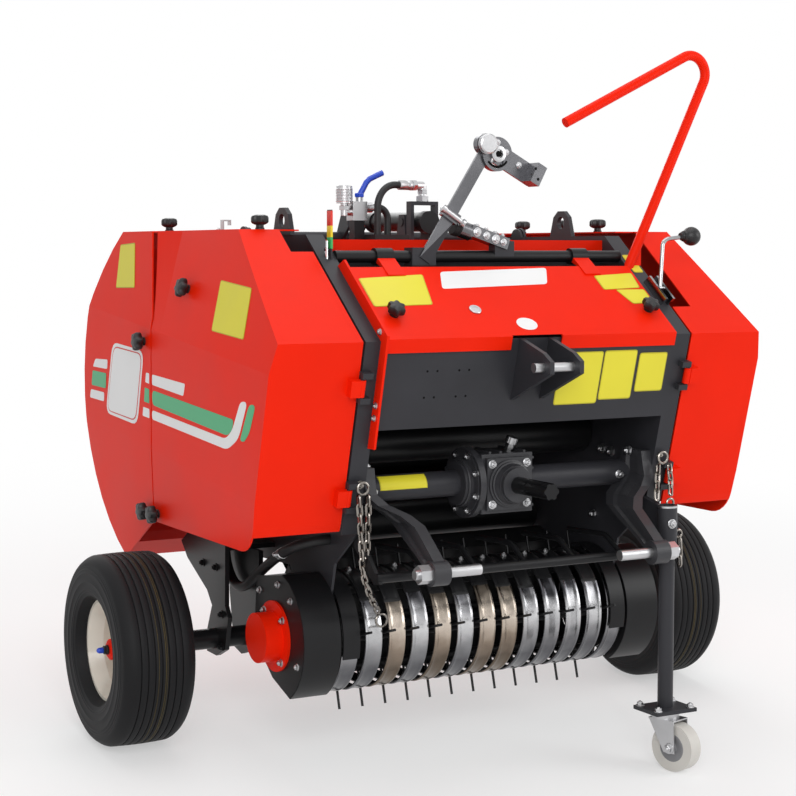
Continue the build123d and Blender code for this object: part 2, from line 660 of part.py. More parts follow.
def hood_lid():
    """Hinged red lid on the hood slope, with a turned-down lip and a notch over the top-link clevis."""
    half = WALL_X - LID_RAISE
    along = Vector(0, cos(radians(HOOD_ANGLE)), sin(radians(HOOD_ANGLE)))
    up = Vector(0, -sin(radians(HOOD_ANGLE)), cos(radians(HOOD_ANGLE)))
    ahead = Vector(0, -LID_RAISE, 0)
    nose = Vector(0, NOSE_Y, NOSE_Z) + up * LID_RAISE
    drop = Vector(0, LID_LIP * sin(radians(FRONT_LEAN)), -LID_LIP * cos(radians(FRONT_LEAN)))
    lip_end = nose + drop + ahead
    nose_front = nose + ahead
    top = nose + along * LID_LENGTH
    lip_front, nose_top = lip_end - Vector(0, SHEET, 0), nose_front + up * SHEET + ahead
    corners = (lip_front, nose_top, top + up * SHEET, top, nose_front, lip_end)
    sheet = side_slab([(p.Y, p.Z) for p in corners], -half, half)
    sheet -= block(-CLEVIS_GAP, CLEVIS_GAP, NOSE_Y - CLEVIS_GAP, NOSE_Y + LID_LIP + BRIDGE_HALF / 2,
                   NOSE_Z - CLEVIS_GAP, NOSE_Z + FLANGE)
    low = top - along * LID_STRAP_OVERLAP
    crown = low + up * (SHEET + LID_STRAP_SHEET)
    reach = TOP_BAR_RADIUS - LID_STRAP_SHEET
    strap_outline = [(low.Y, low.Z), (crown.Y, crown.Z), (TOP_BAR_Y, TOP_BAR_Z + reach),
                     (TOP_BAR_Y, TOP_BAR_Z - reach), (top.Y, top.Z)]
    bar_place = (TOP_BAR_Y, TOP_BAR_Z)
    for x in LID_STRAPS_X:
        end = x + LID_STRAP
        strap = side_slab(strap_outline, x, end)
        knuckle = bar((x, *bar_place), (end, *bar_place), TOP_BAR_RADIUS + LID_KNUCKLE)
        hole = bar((x - SHEET, *bar_place), (end + SHEET, *bar_place), TOP_BAR_RADIUS + RUNNING_GAP)
        sheet += strap + knuckle - hole
    return sheet


# Side covers


def cover_section(y, top_x, inset):
    """Cross-section of a right-hand side cover at a station, taken in by the sheet for its inside."""
    inner = WALL_X + SIDE_PLATE + FLANGE_WIDTH + COVER_GAP - (COVER_END if inset else 0)
    upper, lower = crease_z(CREASE_Z, y), crease_z(LOWER_CREASE_Z, y)
    top = COVER_TOP_Z - inset
    foot = COVER_FOOT_Z - COVER_SKIRT
    points = [(inner, y, foot), (COVER_FOOT_X - inset, y, foot), (COVER_X - inset, y, lower),
              (COVER_X - inset, y, upper), (top_x - inset, y, top), (inner, y, top)]
    return make_face(Polyline(*points, close=True))


def cover_shell(stations, outline_outside, outline_inside):
    """Pressed cover: the lofted form cut to its side outline, hollowed through its open inner side."""
    outside = loft([cover_section(y, top_x, 0) for y, top_x in stations], ruled=True)
    inside = loft([cover_section(y, top_x, SHEET) for y, top_x in stations], ruled=True)
    wide = (WALL_X, COVER_X + COVER_END)
    return (outside & side_slab(outline_outside, *wide)) - (inside & side_slab(outline_inside, *wide))


def seam_line(offset):
    """The seam between a front cover and the tailgate cover, top to foot."""
    return [(SEAM_TOP_Y + offset, COVER_TOP_Z + SEAM_RAISE), (SEAM_TOP_Y + offset, COVER_TOP_Z),
            (SEAM_BEND_Y + offset, SEAM_BEND_Z), (SEAM_FOOT_Y + offset, COVER_FOOT_Z)]


def front_cover(notch_foot_z):
    """Right-hand front cover, a door hinged on the frame's front slope, flared out to the tailgate cover."""
    def outline(inset, foot):
        edge = SEAM_GAP / 2
        top = COVER_TOP_Z + CORNER
        rounds = [(CORNER * (1 - cos(radians(a))), CORNER * (1 - sin(radians(a)))) for a in range(0, 91, 15)]
        corner = [(slope_y(foot + rise) + inset + run, foot + rise) for rise, run in rounds]
        return [*seam_line((SEAM_RAISE if inset else 0) - edge)[1:3], (SEAM_FOOT_Y - edge, foot), *corner,
                (NOSE_Y + inset, NOSE_Z), (slope_y(top) + 2 * inset, top), (SEAM_TOP_Y - edge, top)]
    stations = [(NOSE_Y - COVER_END, DOOR_TOP_X), (FLARE_Y, DOOR_TOP_X),
                (SEAM_TOP_Y + SEAM_RAISE, GATE_TOP_X)]
    shell = cover_shell(stations, outline(0, COVER_FOOT_Z), outline(SHEET, COVER_FOOT_Z - CORNER))
    front, back = slope_y(notch_foot_z), slope_y(COVER_TOP_Z) + NOTCH_DEPTH
    roof = COVER_TOP_Z + CORNER
    low, high = notch_foot_z - NOTCH_OVER, notch_foot_z + NOTCH_OVER
    notch = [(front, low), (front, high), (slope_y(COVER_TOP_Z), roof), (back, roof), (back, low)]
    inner = WALL_X + SIDE_PLATE + FLANGE_WIDTH
    shell -= side_slab(notch, inner, inner + NOTCH_WIDTH)
    for z in COVER_HINGES_Z:
        shell += cover_knuckle(z)
    return shell


def gate_cover():
    """Right-hand tailgate cover, round at the rear, open in front and on its inner side."""
    def arc(radius, foot_angle):
        rise = COVER_TOP_Z - REAR_CENTRE_Z
        top_angle = degrees(atan2(rise, (radius ** 2 - rise ** 2) ** 0.5))
        step = (foot_angle - top_angle) / REAR_STEPS
        angles = [radians(top_angle + step * i) for i in range(REAR_STEPS + 1)]
        return [(CHAMBER_Y + radius * cos(a), REAR_CENTRE_Z + radius * sin(a)) for a in angles]
    seam = seam_line(SEAM_GAP / 2)
    corner = (seam[1][0] + SEAM_TOP_OPEN, seam[1][1])
    outside = [seam[3], seam[2], corner, *arc(REAR_RADIUS, REAR_FOOT_ANGLE)]
    opened = seam_line(-CORNER)
    inside = [*reversed(opened[1:]), *arc(REAR_RADIUS - SHEET, REAR_FOOT_ANGLE + 2)]
    rear = CHAMBER_Y + REAR_RADIUS + COVER_END
    return cover_shell([(SEAM_BEND_Y - 2 * CORNER, GATE_TOP_X), (rear, GATE_TOP_X)], outside, inside)


def cover_hinge_x():
    """X of the right-hand cover's hinge pins, in the gap between frame flange and cover."""
    return WALL_X + SIDE_PLATE + FLANGE_WIDTH + COVER_GAP / 2


def at_cover_hinge(z, shape):
    """Place a hinge piece, drawn about a vertical pin with the frame's face at +Y, on the front slope."""
    lean = Rot(FRONT_LEAN, 0, 0)
    return Pos(cover_hinge_x(), slope_y(z), z) * lean * Pos(0, -COVER_HINGE_AHEAD, 0) * shape


def cover_knuckle(z):
    """Door's half of one cover hinge: a bored knuckle with a tab on the door's front face."""
    body = Cylinder(COVER_KNUCKLE, COVER_KNUCKLE_LENGTH)
    half = COVER_KNUCKLE_LENGTH / 2
    pad = block(COVER_GAP, COVER_PAD, -COVER_KNUCKLE, COVER_HINGE_AHEAD, -half, half)
    return at_cover_hinge(z, body + pad - Cylinder(COVER_HINGE_PIN + RUNNING_GAP, 2 * COVER_KNUCKLE_LENGTH))


def cover_hinge():
    """Frame's half of the right-hand cover hinges: pins held by a tab above and below each knuckle."""
    half = COVER_KNUCKLE_LENGTH / 2 + COVER_GAP / 2
    end = half + COVER_HINGE_TAB
    front = COVER_HINGE_PIN - COVER_HINGE_AHEAD
    side = COVER_HINGE_PIN - 1
    shapes = []
    for z in COVER_HINGES_Z:
        pin = Cylinder(COVER_HINGE_PIN, 2 * end)
        upper = block(-COVER_HINGE_LEAF, side, front, COVER_HINGE_AHEAD, half, end)
        lower = block(-COVER_HINGE_LEAF, side, front, COVER_HINGE_AHEAD, -end, -half)
        shapes += at_cover_hinge(z, pin + upper + lower).solids()
    return Compound(shapes)


# Tailgate


def gate_plate():
    """Right-hand chamber wall of the tailgate with its hinge lug and the stand-offs under its cover."""
    inside = WALL_X
    wall = inside + SIDE_PLATE
    radius = ROLLER_REACH + GATE_PLATE_EDGE
    plate = bar((inside, CHAMBER_Y, CHAMBER_Z), (wall, CHAMBER_Y, CHAMBER_Z), radius)
    plate &= block(inside, wall, SEAM_FOOT_Y, CHAMBER_Y + 2 * radius, 0, 2 * CHAMBER_Z)
    clear = HINGE_EAR_RADIUS + HINGE_CLEAR
    plate -= bar((inside - SHEET, HINGE_Y, HINGE_Z), (wall + SHEET, HINGE_Y, HINGE_Z), clear)
    lug_in, lug_out = wall + HINGE_LUG_GAP, wall + HINGE_LUG_GAP + HINGE_LUG
    root, tip = (HINGE_Y + 55, HINGE_Z - 112), (HINGE_Y + 115, HINGE_Z - 87)
    lug = side_slab([(HINGE_Y - 6, HINGE_Z - 22), root, tip, (HINGE_Y + 8, HINGE_Z + 22)], lug_in, lug_out)
    lug += bar((lug_in, HINGE_Y, HINGE_Z), (lug_out, HINGE_Y, HINGE_Z), HINGE_LUG_RADIUS)
    spacer = [root, (tip[0] - 10, root[1]), (tip[0] + 5, tip[1]), (root[0], root[1] + 40)]
    lug += side_slab(spacer, wall, lug_out)
    lug -= bar((wall, HINGE_Y, HINGE_Z), (lug_out + SHEET, HINGE_Y, HINGE_Z), HINGE_PIN_RADIUS + RUNNING_GAP)
    shape = plate + lug
    for y, z in STANDOFFS:
        place = (CHAMBER_Y + y, CHAMBER_Z + z)
        shape += bar((wall, *place), (COVER_X - SHEET, *place), STANDOFF_RADIUS)
    return shape


def gate_shell():
    """Curved rear sheet between the tailgate's two chamber walls."""
    inside = ROLLER_REACH + GATE_SHELL_EDGE
    ring = Circle(inside + SHEET) - Circle(inside)
    lean, far = inside / 4, 2 * inside
    keep = make_face(Polyline((0, 0), (lean, 1.4 * inside), (far, 1.4 * inside), (far, -1.4 * inside),
                              (lean, -1.4 * inside), close=True))
    sheet = Pos(CHAMBER_Y, CHAMBER_Z) * (ring & keep)
    return extrude(Plane.YZ.offset(-WALL_X) * sheet, BALE_WIDTH)


def gate_lever():
    """Cross tube of the tailgate with the two lugs that take the ram's eye."""
    y, z, r = GATE_TUBE_Y, GATE_TUBE_Z, GATE_TUBE_RADIUS
    outline = [(y - r, z - 8), (y + r, z - 8), (y + r, z + 8), (RAM_EYE_Y + 16, RAM_EYE_Z + 20),
               (RAM_EYE_Y - 14, RAM_EYE_Z + 20), (RAM_EYE_Y - 18, RAM_EYE_Z - 12)]
    shape = bar((-WALL_X, y, z), (WALL_X, y, z), r)
    for x in (RAM_X + EYE_LUG_OUT, RAM_X - EYE_LUG_OUT - EYE_LUG):
        shape += side_slab(outline, x, x + EYE_LUG)
    return shape


# Tailgate ram


def ram_bracket():
    """Two posts on the top sheet that carry the ram's trunnions, and a bridge in front for the fitting."""
    x, y, z = RAM_X, RAM_BASE_Y, RAM_BASE_Z
    inner, outer = RAM_RADIUS + RAM_POST_GAP, RAM_RADIUS + RAM_POST_GAP + RAM_POST
    outline = [(y - 18, TOP_SHEET_Z), (y + 24, TOP_SHEET_Z), (y + 12, z + 16), (y - 12, z + 16)]
    hole = bar((x - 2 * outer, y, z), (x + 2 * outer, y, z), RAM_TRUNNION_RADIUS + RUNNING_GAP)
    posts = side_slab(outline, x - outer, x - inner) + side_slab(outline, x + inner, x + outer) - hole
    front, back = FITTING[1] - BRIDGE_HALF, FITTING[1] + BRIDGE_HALF
    low, high = z + BRIDGE_OVER_RAM, z + BRIDGE_OVER_RAM + BRIDGE
    bridge = block(x - outer, x + outer, front, back, low, high)
    bridge += block(x - outer, x - inner, front, back, TOP_SHEET_Z, high)
    bridge += block(x + inner, x + outer, front, back, TOP_SHEET_Z, high)
    return Compound([*posts.solids(), *bridge.solids()])


def ram_line(distance):
    """Point on the ram's centre line, measured from its trunnions towards the rod's eye."""
    run_y, run_z = RAM_EYE_Y - RAM_BASE_Y, RAM_EYE_Z - RAM_BASE_Z
    share = distance / hypot(run_y, run_z)
    return (RAM_X, RAM_BASE_Y + run_y * share, RAM_BASE_Z + run_z * share)


def ram_barrel():
    """Cylinder barrel on its trunnions, bored for the rod."""
    collar = RAM_RADIUS + RAM_COLLAR
    body = bar(ram_line(RAM_NOSE), ram_line(RAM_TAIL), RAM_RADIUS)
    body += bar(ram_line(RAM_NOSE - RAM_COLLAR), ram_line(RAM_NOSE - RAM_COLLAR + RAM_COLLAR_LENGTH), collar)
    body += bar(ram_line(RAM_TAIL - RAM_COLLAR_LENGTH), ram_line(RAM_TAIL), collar)
    x, y, z = ram_line(0)
    reach = RAM_RADIUS + RAM_POST_GAP + RAM_POST + HINGE_LUG_GAP
    body += bar((x - reach, y, z), (x + reach, y, z), RAM_TRUNNION_RADIUS)
    open_end = ram_line(RAM_TAIL + RAM_COLLAR)
    return body - bar(ram_line(RAM_BORE_START), open_end, RAM_ROD_RADIUS + RUNNING_GAP)


def ram_rod():
    """Chromed rod with its eye between the tailgate's lugs."""
    run = hypot(RAM_EYE_Y - RAM_BASE_Y, RAM_EYE_Z - RAM_BASE_Z)
    eye = Pos(*ram_line(run)) * Rot(0, 90, 0) * Cylinder(RAM_EYE_RADIUS, RAM_EYE_WIDTH)
    return bar(ram_line(RAM_ROD_START), ram_line(run), RAM_ROD_RADIUS) + eye


# Pickup


def pickup_bands():
    """Stripper bands that wrap the front of the pickup between the tines, with tails on a rail behind."""
    far = 2 * BAND_RADIUS
    head = (far / tan(radians(BAND_BACK_ANGLE)), far)
    ring = Circle(BAND_RADIUS) - Circle(BAND_RADIUS - BAND_SHEET)
    keep = make_face(Polyline((0, 0), head, (-far, far), (-far, -far), (0, -far), close=True))
    tail = Pos(BAND_TAIL / 2, BAND_SHEET / 2 - BAND_RADIUS) * Rectangle(BAND_TAIL, BAND_SHEET)
    section = Pos(PICKUP_Y, PICKUP_Z) * ((ring & keep) + tail)
    half = WALL_X + SIDE_PLATE
    back, low = PICKUP_Y + BAND_TAIL, PICKUP_Z - BAND_RADIUS + BAND_SHEET
    shape = block(-half, half, back - RAIL_WIDTH, back, low, low + RAIL)
    first = -BAND_PITCH * (BAND_COUNT - 1) / 2
    for i in range(BAND_COUNT):
        shape += extrude(Plane.YZ.offset(first + i * BAND_PITCH - BAND_WIDTH / 2) * section, BAND_WIDTH)
    return shape


def tine_reel():
    """Reel shaft, end discs, tine bars and the tines that run between the bands."""
    half = WALL_X - REEL_DISC
    end = SHIELD_X - REEL_SHAFT_INSET
    shape = bar((-end, PICKUP_Y, PICKUP_Z), (end, PICKUP_Y, PICKUP_Z), REEL_SHAFT_RADIUS)
    for x in (-half, half - REEL_DISC):
        disc_end = x + REEL_DISC
        shape += bar((x, PICKUP_Y, PICKUP_Z), (disc_end, PICKUP_Y, PICKUP_Z), TINE_CIRCLE + REEL_DISC_EDGE)
    first = -BAND_PITCH * (BAND_COUNT - 2) / 2
    for k in range(TINE_BARS):
        turn = radians(-90 + 360 / TINE_BARS * k)
        bent = turn - radians(TINE_TRAIL)
        root = (PICKUP_Y + TINE_CIRCLE * cos(turn), PICKUP_Z + TINE_CIRCLE * sin(turn))
        tip = (PICKUP_Y + TINE_TIP_RADIUS * cos(bent), PICKUP_Z + TINE_TIP_RADIUS * sin(bent))
        shape += bar((-half, *root), (half, *root), TINE_BAR_RADIUS)
        for i in range(BAND_COUNT - 1):
            x = first + i * BAND_PITCH
            shape += bar((x, *root), (x, *tip), TINE_RADIUS)
    return shape


def pickup_end():
    """Right-hand end housing of the pickup, bolted outside the side plate's ear, with the reel's bearing."""
    inner = WALL_X + SIDE_PLATE
    turns = [radians(a) for a in range(SHIELD_FROM_ANGLE, SHIELD_TO_ANGLE + 1, 15)]
    outline = [(PICKUP_Y - SHIELD_RADIUS * cos(a), PICKUP_Z + SHIELD_RADIUS * sin(a)) for a in turns]
    outline += [(PICKUP_Y + y, PICKUP_Z + z) for y, z in SHIELD_BACK]
    shape = side_slab(outline, inner, SHIELD_X)
    far = 3 * SHIELD_RADIUS
    ring = Circle(SHIELD_RADIUS) - Circle(SHIELD_RADIUS - SHEET)
    head = (far * tan(radians(SHROUD_HEAD_ANGLE)), far)
    toe = (-far, -far * tan(radians(SHROUD_FOOT_ANGLE)))
    front = make_face(Polyline((0, 0), head, (-far, far), toe, close=True))
    shroud = extrude(Plane.YZ.offset(SHROUD_X) * Pos(PICKUP_Y, PICKUP_Z) * (ring & front), SHROUD_WIDTH)
    back, low = PICKUP_Y + BAND_TAIL, PICKUP_Z - BAND_RADIUS
    foot = [(PICKUP_Y + y, PICKUP_Z + z) for y, z in SHIELD_FOOT] + [(back, low + RAIL_WIDTH), (back, low)]
    shape += side_slab(foot, inner, inner + RAIL)
    bore = bar((inner - SHEET, PICKUP_Y, PICKUP_Z), (SHIELD_X - BORE_WALL, PICKUP_Y, PICKUP_Z),
               REEL_SHAFT_RADIUS + RUNNING_GAP)
    return Compound([*(shape - bore).solids(), *shroud.solids()])


def end_cap():
    """Right-hand red bearing cap on the pickup's end housing."""
    y, z = PICKUP_Y, PICKUP_Z
    flange = bar((SHIELD_X, y, z), (SHIELD_X + CAP_FLANGE, y, z), CAP_FLANGE_RADIUS)
    return flange + bar((SHIELD_X, y, z), (SHIELD_X + CAP_LENGTH, y, z), CAP_RADIUS)


def crop_guard():
    """Guard bar across the front of the pickup on two end arms, with rods that lean back over the bands."""
    y, z = GUARD_Y, GUARD_Z
    end_left, end_right = -WALL_X, STAND_X + STAND_PLATE_OFFSET
    shape = bar((end_left, y, z), (end_right, y, z), GUARD_RADIUS)
    root = slope_y(GUARD_ROOT_Z) + GUARD_ROOT_SET
    outline = [(y - 14, z - 10), (y + 10, z - 14), (root, GUARD_ROOT_Z - GUARD_ROOT_DEPTH),
               (root, GUARD_ROOT_Z), (root - 14, GUARD_ROOT_Z)]
    for x in (end_left, end_right - GUARD_ARM):
        shape += side_slab(outline, x, x + GUARD_ARM)
    for i in range(GUARD_RODS):
        x = (i - (GUARD_RODS - 1) / 2) * GUARD_ROD_PITCH
        rise = (x, y + GUARD_ROD_RISE[0], z + GUARD_ROD_RISE[1])
        tip = (x, y + GUARD_ROD_TIP[0], z + GUARD_ROD_TIP[1])
        shape += bent_bar([(x, y, z), rise, tip], GUARD_ROD_BEND, GUARD_ROD_RADIUS)
    return shape


# Gearbox and drive


def gearbox():
    """Cast right-angle gearbox with a round side flange and a square input flange."""
    y, z, half = DRIVE_Y, DRIVE_Z, GEARBOX_HALF
    body = block(-half, half, y - GEARBOX_FRONT, y + GEARBOX_REAR, z - half, z + half)
    flange_end = -half - GEARBOX_FLANGE
    flange = bar((flange_end, y, z), (-half, y, z), GEARBOX_FLANGE_RADIUS)
    neck = bar((flange_end - GEARBOX_NECK, y, z), (flange_end, y, z), GEARBOX_NECK_RADIUS)
    plate_half = GEARBOX_PLATE / 2
    plate_front = y - GEARBOX_FRONT - GEARBOX_PLATE_SHEET
    plate = block(-plate_half, plate_half, plate_front, y - GEARBOX_FRONT, z - plate_half, z + plate_half)
    boss = bar((0, plate_front, z), (0, plate_front - GEARBOX_BOSS, z), GEARBOX_BOSS_RADIUS)
    bore = bar((0, plate_front - 2 * GEARBOX_BOSS, z), (0, y - PTO_INSERT, z), PTO_RADIUS + RUNNING_GAP)
    return body + flange + neck + plate + boss - bore


def drive_tubes():
    """Cross tubes that hang the gearbox between the side plates."""
    neck = -GEARBOX_HALF - GEARBOX_FLANGE - GEARBOX_NECK
    left = bar((-WALL_X, DRIVE_Y, DRIVE_Z), (neck, DRIVE_Y, DRIVE_Z), DRIVE_TUBE_RADIUS)
    right = bar((GEARBOX_HALF, DRIVE_Y, DRIVE_Z), (WALL_X, DRIVE_Y, DRIVE_Z), DRIVE_TUBE_RADIUS)
    return Compound([*left.solids(), *right.solids()])


def pto_shaft():
    """Splined input shaft."""
    shaft = bar((0, PTO_TIP_Y, DRIVE_Z), (0, DRIVE_Y - PTO_INSERT, DRIVE_Z), PTO_RADIUS)
    side = SPLINE_GROOVE / 2
    groove = block(-side, side, PTO_TIP_Y, PTO_TIP_Y + SPLINE_LENGTH, PTO_ROOT_RADIUS, PTO_RADIUS + SHEET)
    for i in range(SPLINE_COUNT):
        shaft -= Pos(0, 0, DRIVE_Z) * Rot(0, 360 / SPLINE_COUNT * i, 0) * groove
    return shaft


# Three-point hitch


def arm_section(z, x, y_front, depth):
    """Cross-section of the cast arm at a height: a web between thick front and rear edges."""
    half, web, edge = ARM_THICKNESS / 2, ARM_THICKNESS / 4, depth * ARM_EDGE_SHARE
    y_back = y_front + depth
    inner_front, inner_back = y_front + ARM_FILLET_SHARE * edge, y_back - ARM_FILLET_SHARE * edge
    side = [(half, y_front), (half, y_front + edge), (web, inner_front), (web, inner_back),
            (half, y_back - edge), (half, y_back)]
    points = [(x + out, y, z) for out, y in side] + [(x - out, y, z) for out, y in reversed(side)]
    return make_face(Polyline(*points, close=True))


def hitch_arm():
    """Right-hand lower hitch arm: it cranks inwards from the side plate and runs down to its eye."""
    top_x = WALL_X - ARM_THICKNESS / 2
    sections = [arm_section(z, top_x - share * (top_x - ARM_X), y, depth)
                for z, share, y, depth in ARM_STATIONS]
    blade = loft(sections, ruled=True)
    half = ARM_THICKNESS / 2 + ARM_BOSS
    eye = bar((ARM_X - half, LINK_PIN_Y, LINK_PIN_Z), (ARM_X + half, LINK_PIN_Y, LINK_PIN_Z), ARM_HUB_RADIUS)
    through = 2 * half
    hole = bar((ARM_X - through, LINK_PIN_Y, LINK_PIN_Z), (ARM_X + through, LINK_PIN_Y, LINK_PIN_Z),
               LINK_SHANK_RADIUS + SEAT_GAP)
    saddle = bar((0, DRIVE_Y, DRIVE_Z), (BALE_WIDTH, DRIVE_Y, DRIVE_Z), DRIVE_TUBE_RADIUS + SEAT_GAP)
    return blade + eye - hole - saddle


def link_pin():
    """Right-hand lower link pin, pointing inwards, with its nut outside the arm."""
    half = ARM_THICKNESS / 2 + ARM_BOSS
    y, z = LINK_PIN_Y, LINK_PIN_Z
    pin = bar((LINK_PIN_TIP_X, y, z), (ARM_X - half, y, z), LINK_PIN_RADIUS)
    pin += bar((ARM_X - 2 * half, y, z), (ARM_X + half + LINK_THREAD, y, z), LINK_SHANK_RADIUS)
    nut = Pos(ARM_X + half, y, z) * Rot(0, 90, 0) * extrude(RegularPolygon(LINK_NUT_RADIUS, 6), LINK_NUT)
    return pin + nut


def top_clevis():
    """Top-link bracket: a base plate on the front panel and two rounded lugs."""
    half = CLEVIS_GAP / 2
    foot = NOSE_Z - CLEVIS_DEPTH
    front = TOP_PIN_Y - CLEVIS_NOSE
    lug = [(NOSE_Y, NOSE_Z), (slope_y(foot), foot), (front, TOP_PIN_Z - CLEVIS_HALF),
           (front, TOP_PIN_Z + CLEVIS_HALF), (TOP_PIN_Y, TOP_PIN_Z + CLEVIS_CROWN)]
    pin = (TOP_PIN_Y, TOP_PIN_Z)
    hole = bar((-CLEVIS_GAP, *pin), (CLEVIS_GAP, *pin), TOP_PIN_RADIUS + RUNNING_GAP)
    right = side_slab(lug, half, half + CLEVIS_LUG) - hole
    left = side_slab(lug, -half - CLEVIS_LUG, -half) - hole
    return Compound([*right.solids(), *left.solids()])


def top_pin():
    """Top-link pin through both lugs."""
    half = CLEVIS_GAP / 2 + CLEVIS_LUG
    head, tail = -half - TOP_PIN_HEAD, half + TOP_PIN_TAIL
    return bar((head, TOP_PIN_Y, TOP_PIN_Z), (tail, TOP_PIN_Y, TOP_PIN_Z), TOP_PIN_RADIUS)


# Castor stand


def castor_centre_z():
    """Height of the castor's axle in the level frame that puts its tyre on the ground nose-up."""
    a = radians(NOSE_UP)
    forward = -(STAND_Y - CASTOR_TRAIL * cos(radians(CASTOR_TURN)))
    return WHEEL_RADIUS + (CASTOR_RADIUS - WHEEL_RADIUS - forward * sin(a)) / cos(a)


PLATE_Z = castor_centre_z() - CASTOR_RADIUS + CASTOR_HEIGHT


def stand_sleeve():
    """Sleeve for the stand's leg with the bracket plate that joins it to the right side plate."""
    tube = bar((STAND_X, STAND_Y, SLEEVE_FOOT_Z), (STAND_X, STAND_Y, SLEEVE_TOP_Z), SLEEVE_RADIUS)
    root_top = SLEEVE_TOP_Z + CLEVIS_HALF
    outline = [(STAND_Y, SLEEVE_FOOT_Z + SHEET), (STAND_Y, SLEEVE_TOP_Z - SLEEVE_RADIUS),
               (STAND_ROOT_Y, root_top), (STAND_ROOT_Y, root_top - STAND_ROOT_DEPTH)]
    plate = side_slab(outline, STAND_X + STAND_PLATE_OFFSET, WALL_X)
    low, high = SLEEVE_FOOT_Z - SHEET, SLEEVE_TOP_Z + SHEET
    return tube + plate - bar((STAND_X, STAND_Y, low), (STAND_X, STAND_Y, high), LEG_RADIUS + RUNNING_GAP)


def stand_leg():
    """Leg tube with the castor's top plate."""
    tube = bar((STAND_X, STAND_Y, PLATE_Z), (STAND_X, STAND_Y, SLEEVE_TOP_Z - LEG_TOP_GAP), LEG_RADIUS)
    wide, deep = CASTOR_PLATE_HALF
    foot = PLATE_Z - CASTOR_PLATE
    return tube + block(STAND_X - wide, STAND_X + wide, STAND_Y - deep, STAND_Y + deep, foot, PLATE_Z)


def at_castor(shape):
    """Place a castor piece, drawn about its swivel axis with the trail towards -Y, under the leg."""
    return Pos(STAND_X, STAND_Y, PLATE_Z - CASTOR_PLATE) * Rot(0, 0, CASTOR_TURN) * shape


def castor_fork():
    """Swivel head and fork with the wheel's axle bolt."""
    drop = CASTOR_HEIGHT - CASTOR_PLATE - CASTOR_RADIUS
    half = CASTOR_WIDTH / 2 + CASTOR_FORK_GAP
    side = half + CASTOR_FORK_SHEET
    crown_z = -CASTOR_HEAD - SEAT_GAP
    head = bar((0, 0, crown_z), (0, 0, -SEAT_GAP), CASTOR_HEAD_RADIUS)
    back, front, foot = 24, -CASTOR_TRAIL - 10, -drop - 10
    crown = block(-side, side, front, back, crown_z - CASTOR_FORK_SHEET, crown_z)
    leg_outline = [(back, crown_z), (front, crown_z), (front - 4, foot), (14 - CASTOR_TRAIL, foot)]
    leg = side_slab(leg_outline, half, side)
    end = half + CASTOR_BOLT_OUT
    axle_bolt = bar((-end, -CASTOR_TRAIL, -drop), (end, -CASTOR_TRAIL, -drop), CASTOR_BOLT_RADIUS)
    return at_castor(head + crown + leg + mirrored(leg) + axle_bolt)


def castor_wheel():
    """Nylon castor wheel, bored for its bolt."""
    drop = CASTOR_HEIGHT - CASTOR_PLATE - CASTOR_RADIUS
    half = CASTOR_WIDTH / 2
    wheel = bar((-half, -CASTOR_TRAIL, -drop), (half, -CASTOR_TRAIL, -drop), CASTOR_RADIUS)
    end = half + SHEET
    bore = bar((-end, -CASTOR_TRAIL, -drop), (end, -CASTOR_TRAIL, -drop), CASTOR_BOLT_RADIUS + RUNNING_GAP)
    return at_castor(wheel - bore)


# Guide pipe, twine gear and hydraulics


def guide_pipe():
    """Bent red pipe with a gusset on the right frame flange, which leads a rope over the machine."""
    y = GUIDE_Y
    run = [(x, y, z) for x, z in (GUIDE_FOOT, GUIDE_TOP, GUIDE_TIP)]
    pipe = bent_bar(run, GUIDE_BEND, GUIDE_RADIUS)
    edge = WALL_X + SIDE_PLATE + FLANGE_WIDTH
    corners = [(GUSSET_INNER_X, GUSSET_FOOT_Z), (edge, GUSSET_FOOT_Z), (edge, GUSSET_FOOT_Z + GUSSET_RISE),
               GUSSET_POINT]
    pipe += extrude(Plane.XZ.offset(-y - GUSSET / 2) * make_face(Polyline(*corners, close=True)), GUSSET)
    top = slope_y(FRAME_TOP_Z)
    under = side_slab([(NOSE_Y, NOSE_Z), (top, FRAME_TOP_Z), (top, NOSE_Z)], SHROUD_X, COVER_X)
    return pipe - under


def guard_strip():
    """Bent red guard strip that stands on the left frame flange, ahead of the lid's edge."""
    x_from = -WALL_X - SIDE_PLATE
    top, foot = STRIP_TOP_Z, STRIP_FOOT_Z
    back = [(slope_y(top), top), (NOSE_Y, NOSE_Z), (slope_y(foot), foot)]
    lifts = (STRIP_TIP_RISE, STRIP_TIP_RISE, 0)
    front = [(y - STRIP_REACH, z + lift) for (y, z), lift in zip(back, lifts)]
    outline = back + front[::-1]
    return side_slab(outline, x_from, x_from + STRIP)


def ball_lever():
    """Control lever on the right frame flange: a forked foot, a bent chromed rod and a ball."""
    x, y, z = LEVER_X, slope_y(LEVER_Z), LEVER_Z
    low, high, rise = z - LEVER_FOOT_HALF, z + LEVER_FOOT_HALF, LEVER_PIN_OUT
    foot_slab = [(slope_y(low), low), (slope_y(high), high), (slope_y(high) - LEVER_FOOT_OUT, high + rise),
                 (slope_y(low) - LEVER_FOOT_OUT, low + rise)]
    near, far = LEVER_FORK
    foot = side_slab(foot_slab, x - far, x - near) + side_slab(foot_slab, x + near, x + far)
    pin_y, pin_z = y - LEVER_PIN_OUT, z + far
    foot += bar((x - far, pin_y, pin_z), (x + far, pin_y, pin_z), LEVER_PIN_RADIUS)
    top = z + LEVER_RISE
    end = (x + LEVER_REACH, y - far, top + near)
    rod = bent_bar([(x, pin_y, pin_z), (x + far, y - near, top), end], LEVER_BEND, LEVER_RADIUS)
    return foot + rod + Pos(end[0] + LEVER_PIN_OUT, *end[1:]) * Sphere(LEVER_BALL)


